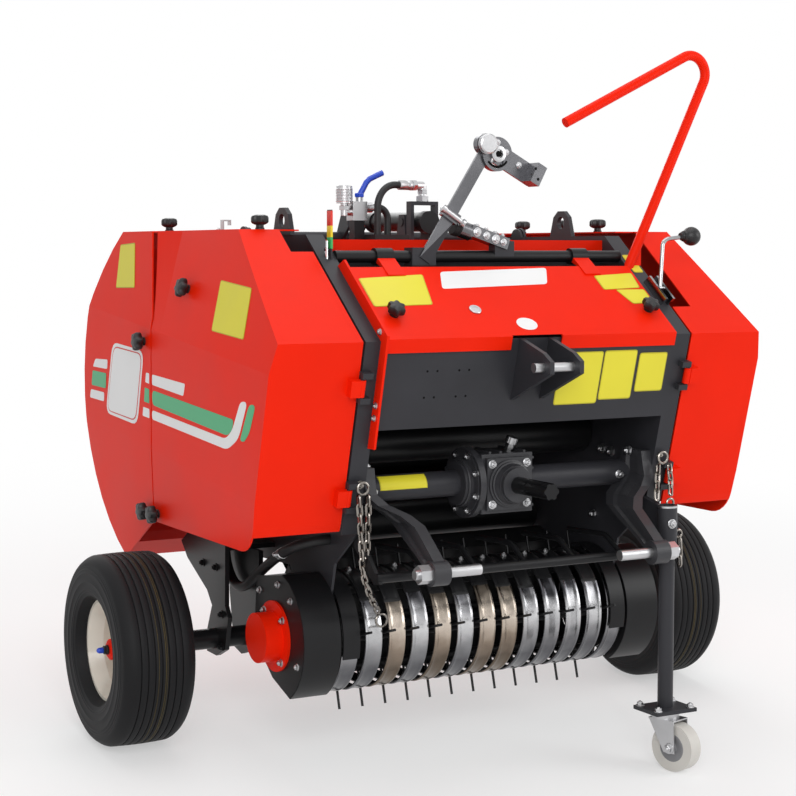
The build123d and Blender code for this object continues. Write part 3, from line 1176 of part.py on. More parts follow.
def twine_arm():
    """Leaning flat bar clamped to the cross bar, with a clamp half way and a guide bracket on top."""
    y = TOP_BAR_Y - TOP_BAR_RADIUS - TWINE_GAP
    x, z = TWINE_ARM_X, TOP_BAR_Z - TWINE_ARM_FOOT
    head_x, head_z = x + TWINE_ARM_LEAN, z + TWINE_ARM_RISE
    length = hypot(TWINE_ARM_LEAN, TWINE_ARM_RISE)
    at = Pos(x, y, z) * Rot(0, degrees(atan2(TWINE_ARM_LEAN, TWINE_ARM_RISE)), 0)
    shape = at * Pos(0, 0, length / 2) * Box(TWINE_ARM_WIDTH, TWINE_ARM_SHEET, length)
    shape += at * Pos(0, -LID_RAISE, TWINE_CLAMP_SHARE * length) * Box(*TWINE_CLAMP)
    wide, wrap, through = TWINE_ARM_WIDTH, TOP_BAR_RADIUS + TWINE_ARM_SHEET, TWINE_DISC_RADIUS
    saddle = block(x - wide, x + wide, y, TOP_BAR_Y + wrap, TOP_BAR_Z - wrap, TOP_BAR_Z + wrap)
    place = (TOP_BAR_Y, TOP_BAR_Z)
    shape += saddle - bar((x - through, *place), (x + through, *place), TOP_BAR_RADIUS)
    disc_x, half = head_x + TWINE_ARM_WIDTH, TWINE_CLAMP[1] / 2
    disc = bar((disc_x, y - half, head_z), (disc_x, y + half, head_z), TWINE_DISC_RADIUS)
    eye_z = head_z - TWINE_EYE_RADIUS
    disc -= bar((disc_x, y - half, eye_z), (disc_x, y + half, eye_z), TWINE_EYE_RADIUS)
    tilt = Rot(0, TWINE_GUIDE_LEAN, 0)
    plate = Pos(head_x + 74, y, head_z - 22) * tilt * Box(*TWINE_GUIDE)
    tab = Pos(head_x + 112, y - 18, head_z - 42) * tilt * Box(*TWINE_TAB)
    cap = bar((head_x, y - half, head_z + 20), (head_x, y + half, head_z + 20), TWINE_CAP_RADIUS)
    return shape + disc + plate + tab + cap


def twine_tensioner():
    """Twine tensioner clamped on the cross bar: a sloping body with a spring cap."""
    x, y, z = TENSIONER_X, TOP_BAR_Y, TOP_BAR_Z + TOP_BAR_RADIUS
    end, half = x + TENSIONER_CLAMP, TOP_BAR_RADIUS
    clamp = block(x, end, y - half, y + half, TOP_BAR_Z, z + 20)
    clamp -= bar((x - half, y, TOP_BAR_Z), (end + half, y, TOP_BAR_Z), TOP_BAR_RADIUS)
    body = Pos(x - 14, y, z + 28) * Rot(0, TENSIONER_LEAN, 0) * Box(*TENSIONER_BODY)
    turned = Rot(0, 90 + TENSIONER_LEAN, 0)
    cap = Pos(x - 68, y, z + 42) * turned * Cylinder(TENSIONER_CAP_RADIUS, TENSIONER_CAP)
    return clamp + body + cap


def density_gauge():
    """Upright gauge strip on the left frame flange with its pointer rod."""
    x, y, z = -WALL_X - SIDE_PLATE - GAUGE_OUT, slope_y(GAUGE_Z), GAUGE_Z
    back, top = y + GAUGE_WIDTH, z + GAUGE_HEIGHT
    outline = [(y, z), (back, z + GAUGE_WIDTH * tan(radians(HOOD_ANGLE))), (back, top), (y, top)]
    middle, height = y + GAUGE_WIDTH / 2, z + POINTER_Z
    inner = x + GAUGE_SHEET
    pointer = bar((inner, middle, height), (inner - POINTER_LENGTH, middle, height), POINTER_RADIUS)
    return side_slab(outline, x, inner) + pointer


def lifting_lug():
    """Lifting eye on the top edge of the right side plate."""
    y, z = LUG_Y, FRAME_TOP_Z
    half = [(LUG_SHOULDER, z), (LUG_HALF_SHOULDER, z + LUG_SHOULDER), (LUG_HALF_TOP, z + LUG_TOP)]
    outline = [(y - reach, height) for reach, height in half]
    outline += [(y + reach, height) for reach, height in reversed(half)]
    hole = bar((WALL_X - LUG, y, LUG_EYE_Z), (WALL_X + 2 * LUG, y, LUG_EYE_Z), LUG_EYE_RADIUS)
    return side_slab(outline, WALL_X, WALL_X + LUG) - hole


def elbow_end():
    """End of the elbow over the ram, on the way to the first hose's bend."""
    ex, ey, ez = FITTING
    bend_x, bend_y = HOSE_BEND
    run = hypot(bend_x - ex, bend_y - ey)
    return (ex + (bend_x - ex) / run * ELBOW_REACH, ey + (bend_y - ey) / run * ELBOW_REACH, ez)


def hydraulic_fittings():
    """Shut-off valve with quick coupler and handle on the top sheet, and the elbow over the ram."""
    x, y, z = VALVE
    wide, thin = VALVE_HALF, FITTING_RADIUS - 1
    out = x - COUPLER_OUT
    post = block(x - 12, x + 12, y - 12, y + 12, TOP_SHEET_Z, z)
    body = block(x - wide, x + wide, y - wide + 2, y + wide - 2, z - wide - 3, z + wide + 3)
    coupler = bar((out, y, z - 10), (out, y, z + 20), thin)
    coupler += bar((out, y, z + 16), (out, y, z + 52), COUPLER_RADIUS)
    coupler += bar((out, y, z - 2), (x, y, z - 2), thin)
    stub = bar((x, y, z + thin), (x + 36, y, z + thin), FITTING_RADIUS + 1)
    spindle = bar((x + 6, y, z), (x + 6, y, z + 34), thin)
    handle = bent_bar([(x + 6, y, z + 30), (x + 26, y, z + 66), (x + 62, y, z + 82)], 12, HANDLE_RADIUS)
    ex, ey, ez = FITTING
    low = RAM_BASE_Z + BRIDGE_OVER_RAM + BRIDGE
    elbow = bar((ex, ey, low), (ex, ey, ez), FITTING_RADIUS) + bar(FITTING, elbow_end(), FITTING_RADIUS)
    elbow += bar((ex, ey, low), (ex, ey, low + 12), FITTING_RADIUS + 4)
    return Compound([*(post + body + coupler + stub + spindle + handle).solids(), *elbow.solids()])


def hoses():
    """Two hoses from the elbow and the valve down to the grommet on the top sheet."""
    vx, vy, vz = VALVE
    out = vz + FITTING_RADIUS - 1
    over = [elbow_end(), (*HOSE_BEND, FITTING[2]), (*HOSE_BEND, GROMMET_TOP)]
    first = bent_bar(over, HOSE_TURN, HOSE_RADIUS)
    drop = [(vx + 36, vy, out), (HOSE_DROP_X, vy, out), (HOSE_DROP_X, vy, GROMMET_TOP)]
    second = bent_bar(drop, HOSE_SHORT_TURN, HOSE_RADIUS)
    return Compound([*first.solids(), *second.solids()])


def hanging_hose():
    """Hose that leaves the left side plate, hangs in a loop behind the pickup and comes back to it."""
    wall = -WALL_X - SIDE_PLATE
    loop = [(wall - LOOP_OUT, y, z) for y, z in LOOP_RUN]
    return bent_bar([(wall, *LOOP_RUN[0]), *loop, (wall, *LOOP_RUN[-1])], LOOP_BEND, LOOP_RADIUS)


def grommet():
    """Rubber grommet on the top sheet where the hoses go down."""
    return block(GROMMET_FROM[0], GROMMET_TO[0], GROMMET_FROM[1], GROMMET_TO[1], TOP_SHEET_Z, GROMMET_TOP)


BODY_SHAPES = {
    "axle": axle,
    "axle_brackets": lambda: both_sides(axle_bracket()),
    "side_plate_left": lambda: mirrored(side_plate()),
    "side_plate_right": side_plate,
    "front_panel": front_panel,
    "twine_box": twine_box,
    "top_sheet": top_sheet,
    "top_bar": top_bar,
    "front_rollers": lambda: rollers(FRONT_ROLLER_ANGLES),
    "feed_roller": lambda: chamber_roller(FEED_ROLLER_ANGLE),
    "hood_lid": hood_lid,
    "cover_hinges": lambda: both_sides(cover_hinge()),
    "front_cover_left": lambda: mirrored(front_cover(NOTCH_LEFT_Z)),
    "front_cover_right": lambda: front_cover(NOTCH_RIGHT_Z),
    "gate_cover_left": lambda: mirrored(gate_cover()),
    "gate_cover_right": gate_cover,
    "gate_plate_left": lambda: mirrored(gate_plate()),
    "gate_plate_right": gate_plate,
    "gate_shell": gate_shell,
    "gate_rollers": lambda: rollers(GATE_ROLLER_ANGLES),
    "gate_lever": gate_lever,
    "ram_bracket": ram_bracket,
    "ram_barrel": ram_barrel,
    "ram_rod": ram_rod,
    "pickup_bands": pickup_bands,
    "tine_reel": tine_reel,
    "pickup_ends": lambda: both_sides(pickup_end()),
    "end_caps": lambda: both_sides(end_cap()),
    "crop_guard": crop_guard,
    "gearbox": gearbox,
    "drive_tubes": drive_tubes,
    "pto_shaft": pto_shaft,
    "hitch_arms": lambda: both_sides(hitch_arm()),
    "link_pins": lambda: both_sides(link_pin()),
    "top_clevis": top_clevis,
    "top_pin": top_pin,
    "stand_sleeve": stand_sleeve,
    "stand_leg": stand_leg,
    "castor_fork": castor_fork,
    "castor_wheel": castor_wheel,
    "guide_pipe": guide_pipe,
    "guard_strip": guard_strip,
    "ball_lever": ball_lever,
    "twine_arm": twine_arm,
    "twine_tensioner": twine_tensioner,
    "density_gauge": density_gauge,
    "lifting_lugs": lambda: both_sides(lifting_lug()),
    "hydraulic_fittings": hydraulic_fittings,
    "hoses": hoses,
    "grommet": grommet,
    "hanging_hose": hanging_hose,
    "tyre_left": lambda: wheel_at(-1, tyre()),
    "tyre_right": lambda: wheel_at(1, tyre()),
    "rim_left": lambda: wheel_at(-1, rim()),
    "rim_right": lambda: wheel_at(1, rim()),
    "hub_left": lambda: wheel_at(-1, hub()),
    "hub_right": lambda: wheel_at(1, hub()),
}


def nose_up():
    """Turn about the wheel axle that sets the machine down on its castor."""
    return Pos(0, 0, WHEEL_RADIUS) * Rot(-NOSE_UP, 0, 0) * Pos(0, 0, -WHEEL_RADIUS)


def build():
    """All sub-parts in the stored frame, and the placing that took them there."""
    tipped = {name: nose_up() * make() for name, make in BODY_SHAPES.items()}
    ends = [shape.bounding_box() for shape in tipped.values()]
    middle = (min(b.min.Y for b in ends) + max(b.max.Y for b in ends)) / 2
    centred = Pos(0, -middle, 0)
    return {name: centred * shape for name, shape in tipped.items()}, centred * nose_up()


PARTS, PLACING = build()
os.makedirs("parts", exist_ok=True)
for part_name, part_shape in PARTS.items():
    export_step(part_shape, f"parts/{part_name}.step")
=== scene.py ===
import math

import bmesh
import bpy
from mathutils import Matrix, Vector
from mathutils.bvhtree import BVHTree


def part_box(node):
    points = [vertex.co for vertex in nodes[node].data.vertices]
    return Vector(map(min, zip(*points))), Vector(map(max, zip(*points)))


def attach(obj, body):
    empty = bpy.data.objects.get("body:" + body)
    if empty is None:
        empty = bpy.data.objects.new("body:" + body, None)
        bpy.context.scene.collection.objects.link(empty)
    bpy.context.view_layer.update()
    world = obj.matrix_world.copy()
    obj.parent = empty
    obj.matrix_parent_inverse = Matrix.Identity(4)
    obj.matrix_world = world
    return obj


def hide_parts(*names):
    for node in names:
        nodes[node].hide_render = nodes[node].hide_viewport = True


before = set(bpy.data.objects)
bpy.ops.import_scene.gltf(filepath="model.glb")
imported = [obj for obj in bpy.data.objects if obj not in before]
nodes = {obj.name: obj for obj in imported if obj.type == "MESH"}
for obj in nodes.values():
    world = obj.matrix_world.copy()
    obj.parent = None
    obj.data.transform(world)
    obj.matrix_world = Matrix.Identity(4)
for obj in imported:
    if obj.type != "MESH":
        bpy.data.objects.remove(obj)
scene = bpy.context.scene

# How the machine stands. It parks on its two wheels and the castor with its nose a little up. Every piece
# below is drawn with the frame level, in millimetres from the middle of the axle line on the ground, and set
# down with this one turn about the axle.
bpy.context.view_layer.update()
NOSE_UP = math.radians(5.5)
WHEEL_RADIUS = 203.0
axle_middle = sum(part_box("axle"), Vector()) / 2
PARKED = (Matrix.Translation(axle_middle) @ Matrix.Rotation(-NOSE_UP, 4, "X")
          @ Matrix.Translation((0, 0, -WHEEL_RADIUS / 1000)) @ Matrix.Scale(0.001, 4))
LEVEL = PARKED.inverted()
skins = {}


def set_down(draft, name, finish, body="chassis", sharp=32):
    """Turns a drawn mesh into a piece of the machine: parked, shaded, painted and carried by its body."""
    bmesh.ops.recalc_face_normals(draft, faces=draft.faces)
    draft.transform(PARKED)
    mesh = bpy.data.meshes.new(name)
    draft.to_mesh(mesh)
    draft.free()
    piece = bpy.data.objects.new(name, mesh)
    scene.collection.objects.link(piece)
    mesh.materials.append(finish)
    mesh.polygons.foreach_set("use_smooth", [True] * len(mesh.polygons))
    mesh.set_sharp_from_angle(angle=math.radians(sharp))
    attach(piece, body)
    return piece


def touch(node, start, aim):
    """Where a straight line first meets a CAD piece, and the way its surface faces there."""
    if node not in skins:
        mesh = nodes[node].data
        skins[node] = BVHTree.FromPolygons([LEVEL @ v.co for v in mesh.vertices],
                                           [tuple(p.vertices) for p in mesh.polygons])
    aim = Vector(aim).normalized()
    spot, normal, _, _ = skins[node].ray_cast(Vector(start), aim)
    return spot, normal if normal.dot(aim) < 0 else -normal


# The studio. A white floor that runs out into white surroundings, a broad soft lamp over the front left,
# weaker ones on the right and behind, and a wide one overhead, as for a catalogue picture.
FLOOR_WHITE = (0.95, 0.95, 0.95, 1.0)
FLOOR_SIZE = 40.0
FLOOR_NEAR = 1.3
FLOOR_FAR = 3.2
FLOOR_HAZE = 0.45
floor_mesh = bmesh.new()
bmesh.ops.create_grid(floor_mesh, x_segments=8, y_segments=8, size=FLOOR_SIZE / 2)
floor_data = bpy.data.meshes.new("studio_floor")
floor_mesh.to_mesh(floor_data)
floor_mesh.free()
floor = bpy.data.objects.new("studio_floor", floor_data)
scene.collection.objects.link(floor)


def fill(node, values):
    """Sets inputs of a shader node."""
    for socket, value in values.items():
        node.inputs[socket].default_value = value


def added(tree, kind, values=None, operation=None):
    """New shader node of a kind, with some of its inputs set."""
    node = tree.nodes.new("ShaderNode" + kind)
    if operation:
        node.operation = operation
    fill(node, values or {})
    return node


def wire(tree, *runs):
    """Links shader nodes. Each run goes from an output of one node to an input of another."""
    for source, out, target, into in runs:
        tree.links.new(source.outputs[out], target.inputs[into])


def seen_ray(tree):
    """One where a ray comes from the eye, a mirror image or clear glass; nought for the light of the room."""
    path = added(tree, "LightPath")
    mirrored = added(tree, "Math", operation="MAXIMUM")
    through = added(tree, "Math", operation="MAXIMUM")
    wire(tree, (path, "Is Camera Ray", mirrored, 0), (path, "Is Glossy Ray", mirrored, 1),
         (mirrored, "Value", through, 0), (path, "Is Transmission Ray", through, 1))
    return through


floor_finish = bpy.data.materials.new("studio_floor_paint")
floor_finish.use_nodes = True
floor_tree = floor_finish.node_tree
floor_paint = floor_tree.nodes["Principled BSDF"]
fill(floor_paint, {"Base Color": FLOOR_WHITE, "Roughness": 0.9})
floor_place = added(floor_tree, "TexCoord")
floor_reach = added(floor_tree, "VectorMath", operation="LENGTH")
floor_fade = added(floor_tree, "MapRange",
                   {"From Min": FLOOR_NEAR, "From Max": FLOOR_FAR, "To Min": FLOOR_HAZE})
floor_fade.interpolation_type = "SMOOTHSTEP"
floor_share = added(floor_tree, "Math", operation="MULTIPLY")
floor_glow = added(floor_tree, "Emission")
floor_mix = added(floor_tree, "MixShader")
floor_out = floor_tree.nodes["Material Output"]
wire(floor_tree, (floor_place, "Object", floor_reach, 0), (floor_reach, "Value", floor_fade, "Value"),
     (floor_fade, "Result", floor_share, 0), (seen_ray(floor_tree), "Value", floor_share, 1),
     (floor_share, "Value", floor_mix, "Fac"), (floor_paint, "BSDF", floor_mix, 1),
     (floor_glow, "Emission", floor_mix, 2), (floor_mix, "Shader", floor_out, "Surface"))
floor_data.materials.append(floor_finish)

ROOM_LIGHT = 0.40
SKY_WHITE = (1.0, 1.0, 1.0, 1.0)
surround = bpy.data.worlds.new("studio_surround")
scene.world = surround
surround.use_nodes = True
sky = surround.node_tree
sky.nodes.clear()
glow = added(sky, "Background", {"Color": SKY_WHITE, "Strength": ROOM_LIGHT})
backdrop = added(sky, "Background", {"Color": SKY_WHITE, "Strength": 1.0})
choice = added(sky, "MixShader")
sky_out = added(sky, "OutputWorld")
wire(sky, (seen_ray(sky), "Value", choice, "Fac"), (glow, "Background", choice, 1),
     (backdrop, "Background", choice, 2), (choice, "Shader", sky_out, "Surface"))

LAMPS = {
    "lamp_front_left": ((-2.2, -4.1, 2.9), 2.4, 98.0),
    "lamp_right": ((3.4, -2.6, 2.2), 2.0, 50.0),
    "lamp_overhead": ((0.0, 0.2, 4.2), 3.2, 52.0),
    "lamp_back": ((0.6, 4.0, 2.6), 2.4, 50.0),
}
AIM = Vector((0.0, 0.0, 0.65))
for lamp_name, (place, size, power) in LAMPS.items():
    lamp_data = bpy.data.lights.new(lamp_name, "AREA")
    lamp_data.size = size
    lamp_data.energy = power
    lamp = bpy.data.objects.new(lamp_name, lamp_data)
    lamp.location = place
    lamp.rotation_euler = (AIM - Vector(place)).to_track_quat("-Z", "Y").to_euler()
    scene.collection.objects.link(lamp)

# The camera stands to the left of the machine's front at chest height, with a long lens.
# Its place and turn are those from which the wheels, the nose and the stand fall where they should.
PICTURE = 796.0
FOCAL = 1841.9
SENSOR = 36.0
CAMERA_PLACE = Vector((-2039.6, -3650.0, 1039.1))
CAMERA_TURN = math.radians(28.895)
CAMERA_DOWN = math.radians(4.529)
ahead = Vector((math.sin(CAMERA_TURN) * math.cos(CAMERA_DOWN),
                math.cos(CAMERA_TURN) * math.cos(CAMERA_DOWN), -math.sin(CAMERA_DOWN)))
across = Vector((math.cos(CAMERA_TURN), -math.sin(CAMERA_TURN), 0.0))
upward = across.cross(ahead)
lens = bpy.data.cameras.new("catalogue_camera")
lens.sensor_width = SENSOR
lens.lens = FOCAL / PICTURE * SENSOR
camera = bpy.data.objects.new("catalogue_camera", lens)
aimed = Matrix((across, upward, -ahead)).transposed().to_4x4()
camera.matrix_world = Matrix.Translation(PARKED @ CAMERA_PLACE) @ Matrix.Rotation(-NOSE_UP, 4, "X") @ aimed
scene.collection.objects.link(camera)
scene.camera = camera
scene.view_settings.view_transform = "Standard"


# Painted frame. Side plates, front panel, hitch bracket and the jack are folded and welded steel plate,
# sprayed charcoal grey with a satin sheen. The paint has a faint orange peel and lighter rubbed patches.
def painted(name, colour, rough, coat, peel, peel_scale=420.0, patch=0.12, metal=0.0, shine=0.5):
    """Sprayed finish: colour that wanders a little over the panel, fine peel in the surface, clear coat."""
    finish = bpy.data.materials.new(name)
    finish.use_nodes = True
    tree = finish.node_tree
    shader = tree.nodes["Principled BSDF"]
    place = added(tree, "TexCoord")
    cloud = added(tree, "TexNoise", {"Scale": 7.0, "Detail": 4.0})
    ramp = added(tree, "ValToRGB")
    ramp.color_ramp.elements[0].position = 0.3
    ramp.color_ramp.elements[1].position = 0.75
    ramp.color_ramp.elements[0].color = (*[c * (1.0 - patch) for c in colour], 1.0)
    ramp.color_ramp.elements[1].color = (*[min(1.0, c * (1.0 + patch)) for c in colour], 1.0)
    smear = added(tree, "MapRange", {"To Min": rough * 0.85, "To Max": rough * 1.2})
    grain = added(tree, "TexNoise", {"Scale": peel_scale, "Detail": 3.0})
    bump = added(tree, "Bump", {"Strength": peel, "Distance": 0.0006})
    fill(shader, {"Metallic": metal, "Specular IOR Level": shine, "Coat Weight": coat,
                  "Coat Roughness": 0.08})
    wire(tree, (place, "Object", cloud, "Vector"), (place, "Object", grain, "Vector"),
         (cloud, "Fac", ramp, "Fac"), (ramp, "Color", shader, "Base Color"), (cloud, "Fac", smear, "Value"),
         (smear, "Result", shader, "Roughness"), (grain, "Fac", bump, "Height"),
         (bump, "Normal", shader, "Normal"))
    return finish


def coat(finish, *names):
    """Gives CAD pieces their finish."""
    for name in names:
        nodes[name].data.materials.clear()
        nodes[name].data.materials.append(finish)


def touch_up(node, finish, chosen):
    """Second finish on the faces of a CAD piece whose middles pass a test, such as a bar's painted foot."""
    mesh = nodes[node].data
    mesh.materials.append(finish)
    for face in mesh.polygons:
        if chosen(LEVEL @ face.center):
            face.material_index = len(mesh.materials) - 1


charcoal = painted("charcoal_paint", (0.032, 0.032, 0.037), 0.40, 0.0, 0.05, shine=0.22)
coat(charcoal, "side_plate_left", "side_plate_right", "front_panel", "twine_box", "top_clevis",
     "stand_sleeve", "stand_leg", "drive_tubes", "gate_plate_left", "gate_plate_right", "gate_lever",
     "ram_bracket", "cover_hinges", "lifting_lugs", "density_gauge")
black = painted("black_paint", (0.008, 0.008, 0.009), 0.34, 0.0, 0.05, shine=0.25)
coat(black, "axle", "axle_brackets", "pickup_ends", "crop_guard", "ram_barrel", "tine_reel", "pto_shaft",
     "top_bar", "front_rollers", "gate_rollers", "feed_roller")
zinc = painted("zinc_steel", (0.52, 0.52, 0.53), 0.32, 0.0, 0.10, patch=0.2, metal=1.0)
coat(zinc, "link_pins", "top_pin", "castor_fork", "hydraulic_fittings")


# Tyres. Each is a moulded implement tyre: fine lines round the sidewall, a flat tread with narrow grooves
# that run all the way round, and thin coloured factory lines on the tread. Air presses it on its wheel.
def skin(draft, rings, closed=False):
    """Faces between rings of points that follow each other, closed at the ends or back to the start."""
    pairs = list(zip(rings, rings[1:]))
    if closed:
        pairs.append((rings[-1], rings[0]))
    else:
        draft.faces.new(rings[0])
        draft.faces.new(rings[-1])
    for low, high in pairs:
        for i in range(len(low)):
            draft.faces.new((low[i - 1], low[i], high[i], high[i - 1]))


def lathe(draft, profile, place, steps=32, ring=False, lobe=0, lobes=6):
    """Turned piece: a profile of (height, radius) spun about Z, closed at its ends or back to its start."""
    rings = []
    for height, radius in profile:
        turn = [math.tau * i / steps for i in range(steps)]
        reach = [radius * (1 + lobe * math.cos(lobes * a)) for a in turn]
        rings.append([draft.verts.new(place @ Vector((r * math.cos(a), r * math.sin(a), height)))
                      for r, a in zip(reach, turn)])
    skin(draft, rings, ring)


def stood(at, facing, spin=0):
    """Placing that stands a piece, drawn up along Z, at a point with its top facing a given way."""
    turn = Vector(facing).to_track_quat("Z", "Y").to_matrix().to_4x4()
    return Matrix.Translation(at) @ turn @ Matrix.Rotation(spin, 4, "Z")


WHEEL_X = 680
TREAD_HALF = 57
GROOVES = (-45, -30, -15, 0, 15, 30, 45)
GROOVE_HALF = 1.1
GROOVE_DEPTH = 3.2
TREAD_LINES = ((-7, 0.55), (-10.5, 0.4), (8, 0.4))
WALL_LINES = (126, 131, 146, 165, 172, 178)
BEAD_RADIUS = 116.5
SHOULDER_RADIUS = 190
WALL_FOOT = 68.5
WALL_BULGE = 13.6
TYRE_STEPS = 112


def tread_radius(x):
    """Radius of the tread, a little crowned across its width."""
    return WHEEL_RADIUS - 0.2 - 1.8 * (x / TREAD_HALF) ** 2


def wall_reach(radius):
    """How far the sidewall bulges out at a radius."""
    share = (radius - BEAD_RADIUS) / (SHOULDER_RADIUS - BEAD_RADIUS)
    flatten = 1 if share < 0.75 else 0.995
    return WALL_FOOT + WALL_BULGE * math.sin(math.pi * min(1, 0.15 + 0.72 * share)) ** 0.8 * flatten


tyre_wall = [(48.6, 106.6), (60, 110), (wall_reach(116.6), 116.6)]
for line in WALL_LINES:
    tyre_wall += [(wall_reach(line - 1.2), line - 1.2), (wall_reach(line) + 0.35, line - 0.5),
                  (wall_reach(line) + 0.35, line + 0.5), (wall_reach(line + 1.2), line + 1.2)]
tyre_wall += [(78.5, 184), (76, 188.4), (72.2, 192.4), (67, 196.2), (62, 199.2),
              (TREAD_HALF, tread_radius(TREAD_HALF))]
tyre_tread = []
for groove in reversed(GROOVES):
    edge = tread_radius(groove)
    floor_of_groove = edge - GROOVE_DEPTH
    tyre_tread += [(groove + 2.2, edge), (groove + GROOVE_HALF, edge - 0.6), (groove + 0.7, floor_of_groove),
                   (groove - 0.7, floor_of_groove), (groove - GROOVE_HALF, edge - 0.6), (groove - 2.2, edge)]
tyre_profile = tyre_wall + tyre_tread + [(-x, r) for x, r in reversed(tyre_wall)]
tyre_rubber = painted("tyre_rubber", (0.0075, 0.0075, 0.0085), 0.60, 0.0, 0.3, peel_scale=300.0, patch=0.25,
                      shine=0.2)
line_paint = painted("tyre_line_paint", (0.085, 0.062, 0.016), 0.6, 0.0, 0.2, patch=0.35, shine=0.2)
for side, hand in ((-1, "left"), (1, "right")):
    wheel_place = stood((side * WHEEL_X, 0, WHEEL_RADIUS), (side, 0, 0))
    draft = bmesh.new()
    lathe(draft, tyre_profile, wheel_place, TYRE_STEPS, ring=True)
    tyre = set_down(draft, f"ribbed_tyre_{hand}", tyre_rubber, f"wheel_{hand}", sharp=40)
    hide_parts(f"tyre_{hand}")
    draft = bmesh.new()
    for x, half in TREAD_LINES:
        low, high = tread_radius(x) - 0.4, tread_radius(x) + 0.12
        lathe(draft, [(x - half, low), (x - half, high), (x + half, high), (x + half, low)],
              wheel_place, TYRE_STEPS, ring=True)
    set_down(draft, f"tyre_lines_{hand}", line_paint, f"wheel_{hand}")

# Wheels and hubs. The rims are pressed and welded steel in cream gloss, each held by five zinc nuts on a red
# hub. A grease nipple in a black boot with a blue plastic cap sits in the middle of each dust cap.
HUB_NUT_CIRCLE = 48
HUB_NUTS = 5
HUB_FACE = 2
CAP_FACE = 44
cream = painted("cream_paint", (0.74, 0.70, 0.61), 0.28, 0.4, 0.05, patch=0.05)
coat(cream, "rim_left", "rim_right")
red = painted("red_paint", (0.84, 0.017, 0.002), 0.36, 0.0, 0.02, patch=0.03, shine=0.08)
coat(red, "hub_left", "hub_right")
blue = painted("blue_plastic", (0.010, 0.060, 0.55), 0.35, 0.2, 0.1)
boot_rubber = painted("boot_rubber", (0.010, 0.010, 0.011), 0.6, 0.0, 0.3, shine=0.3)


def bolt(draft, at, facing, across=13, head=8, washer=True, spin=0.3):
    """Hexagon bolt or nut with a chamfered crown, a thread end and a washer under it."""
    place = stood(at, facing, spin)
    rim = across / math.sqrt(3)
    foot = 0
    if washer:
        foot = 1.8
        lathe(draft, [(0, rim * 1.32), (1.3, rim * 1.32), (foot, rim * 1.22)], place, 20)
    lathe(draft, [(foot, rim), (foot + head * 0.85, rim), (foot + head, rim * 0.84)], place, 6)
    thread = ((1, 0.50), (1.25, 0.50), (1.4, 0.40))
    lathe(draft, [(foot + head * rise, rim * share) for rise, share in thread], place, 12)


def side_arc(middle, radius, turns):
    """Points (y, z) round a middle, as seen from the machine's side."""
    return [(middle.y + radius * math.cos(a), middle.z + radius * math.sin(a)) for a in turns]


wheel_middle = Vector((0, 0, WHEEL_RADIUS))
nut_turns = [math.tau * i / HUB_NUTS + 0.35 for i in range(HUB_NUTS)]
for side, hand in ((-1, "left"), (1, "right")):
    draft = bmesh.new()
    for y, z in side_arc(wheel_middle, HUB_NUT_CIRCLE, nut_turns):
        bolt(draft, (side * (WHEEL_X + HUB_FACE), y, z), (side, 0, 0), across=15, head=9)
    set_down(draft, f"wheel_nuts_{hand}", zinc, f"wheel_{hand}")
    cap_place = stood((side * (WHEEL_X + CAP_FACE), 0, WHEEL_RADIUS), (side, 0, 0))
    draft = bmesh.new()
    lathe(draft, [(0, 10), (3, 10.4), (6, 8.6), (9, 9.2), (11, 6.4)], cap_place, 24)
    set_down(draft, f"nipple_boot_{hand}", boot_rubber, f"wheel_{hand}")
    draft = bmesh.new()
    lathe(draft, [(11, 6), (12.5, 6.6), (20, 6), (23, 4.6), (24.5, 2.4)], cap_place, 24)
    set_down(draft, f"nipple_cap_{hand}", blue, f"wheel_{hand}")

# Axle carriers. Two thick plates hang from each side of the frame and clamp the axle tube. Bolts tie them
# together round the tube and hold the shelf to the side plate.
CARRIER_OUT = 480
CARRIER_BOLTS = ((-40, 190), (30, 190), (-40, 262), (-10, 360), (60, 360))
draft = bmesh.new()
for side in (-1, 1):
    for y, z in CARRIER_BOLTS:
        bolt(draft, (side * CARRIER_OUT, y, z), (side, 0, 0), across=12, head=6.5)
set_down(draft, "carrier_bolts", black, "chassis")

# Hanging hose. A thick rubber hose leaves the left side plate, hangs in a loop behind the pickup and goes
# back to the plate. A bent zinc band holds it half way up its front leg.
HOSE_ROUTE = ((-0.356, 0.066, 0.445), (-0.426, 0.066, 0.445), (-0.426, 0.062, 0.345), (-0.426, -0.018, 0.300),
              (-0.426, -0.150, 0.381), (-0.426, -0.306, 0.452), (-0.356, -0.306, 0.452))
HOSE_DIAMETER = 0.022
hose_rubber = painted("hose_rubber", (0.010, 0.010, 0.011), 0.50, 0.0, 0.3, shine=0.4)
hose_curve = bpy.data.curves.new("hanging_hose_line", "CURVE")
hose_curve.dimensions = "3D"
hose_curve.bevel_depth = HOSE_DIAMETER / 2
hose_curve.bevel_resolution = 5
hose_curve.use_fill_caps = True
hose_run = hose_curve.splines.new("NURBS")
hose_run.points.add(len(HOSE_ROUTE) - 1)
for point, place in zip(hose_run.points, HOSE_ROUTE):
    point.co = (*(PARKED @ (Vector(place) * 1000)), 1)
hose_run.order_u = 3
hose_run.use_endpoint_u = True
hose_run.resolution_u = 12
hose = bpy.data.objects.new("hanging_loop", hose_curve)
hose_curve.materials.append(hose_rubber)
scene.collection.objects.link(hose)
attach(hose, "chassis")
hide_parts("hanging_hose")
band_at = (Vector(HOSE_ROUTE[4]) + Vector(HOSE_ROUTE[5])) * 500
band_run = Vector(HOSE_ROUTE[5]) - Vector(HOSE_ROUTE[4])
draft = bmesh.new()
lathe(draft, [(-7, 11.2), (-6.5, 12.4), (6.5, 12.4), (7, 11.2)], stood(band_at, band_run), 28, ring=True)
bolt(draft, band_at + Vector((-12, 0, 0)), (-1, 0, 0), across=9, head=5)
hose_band = set_down(draft, "hose_band", zinc)

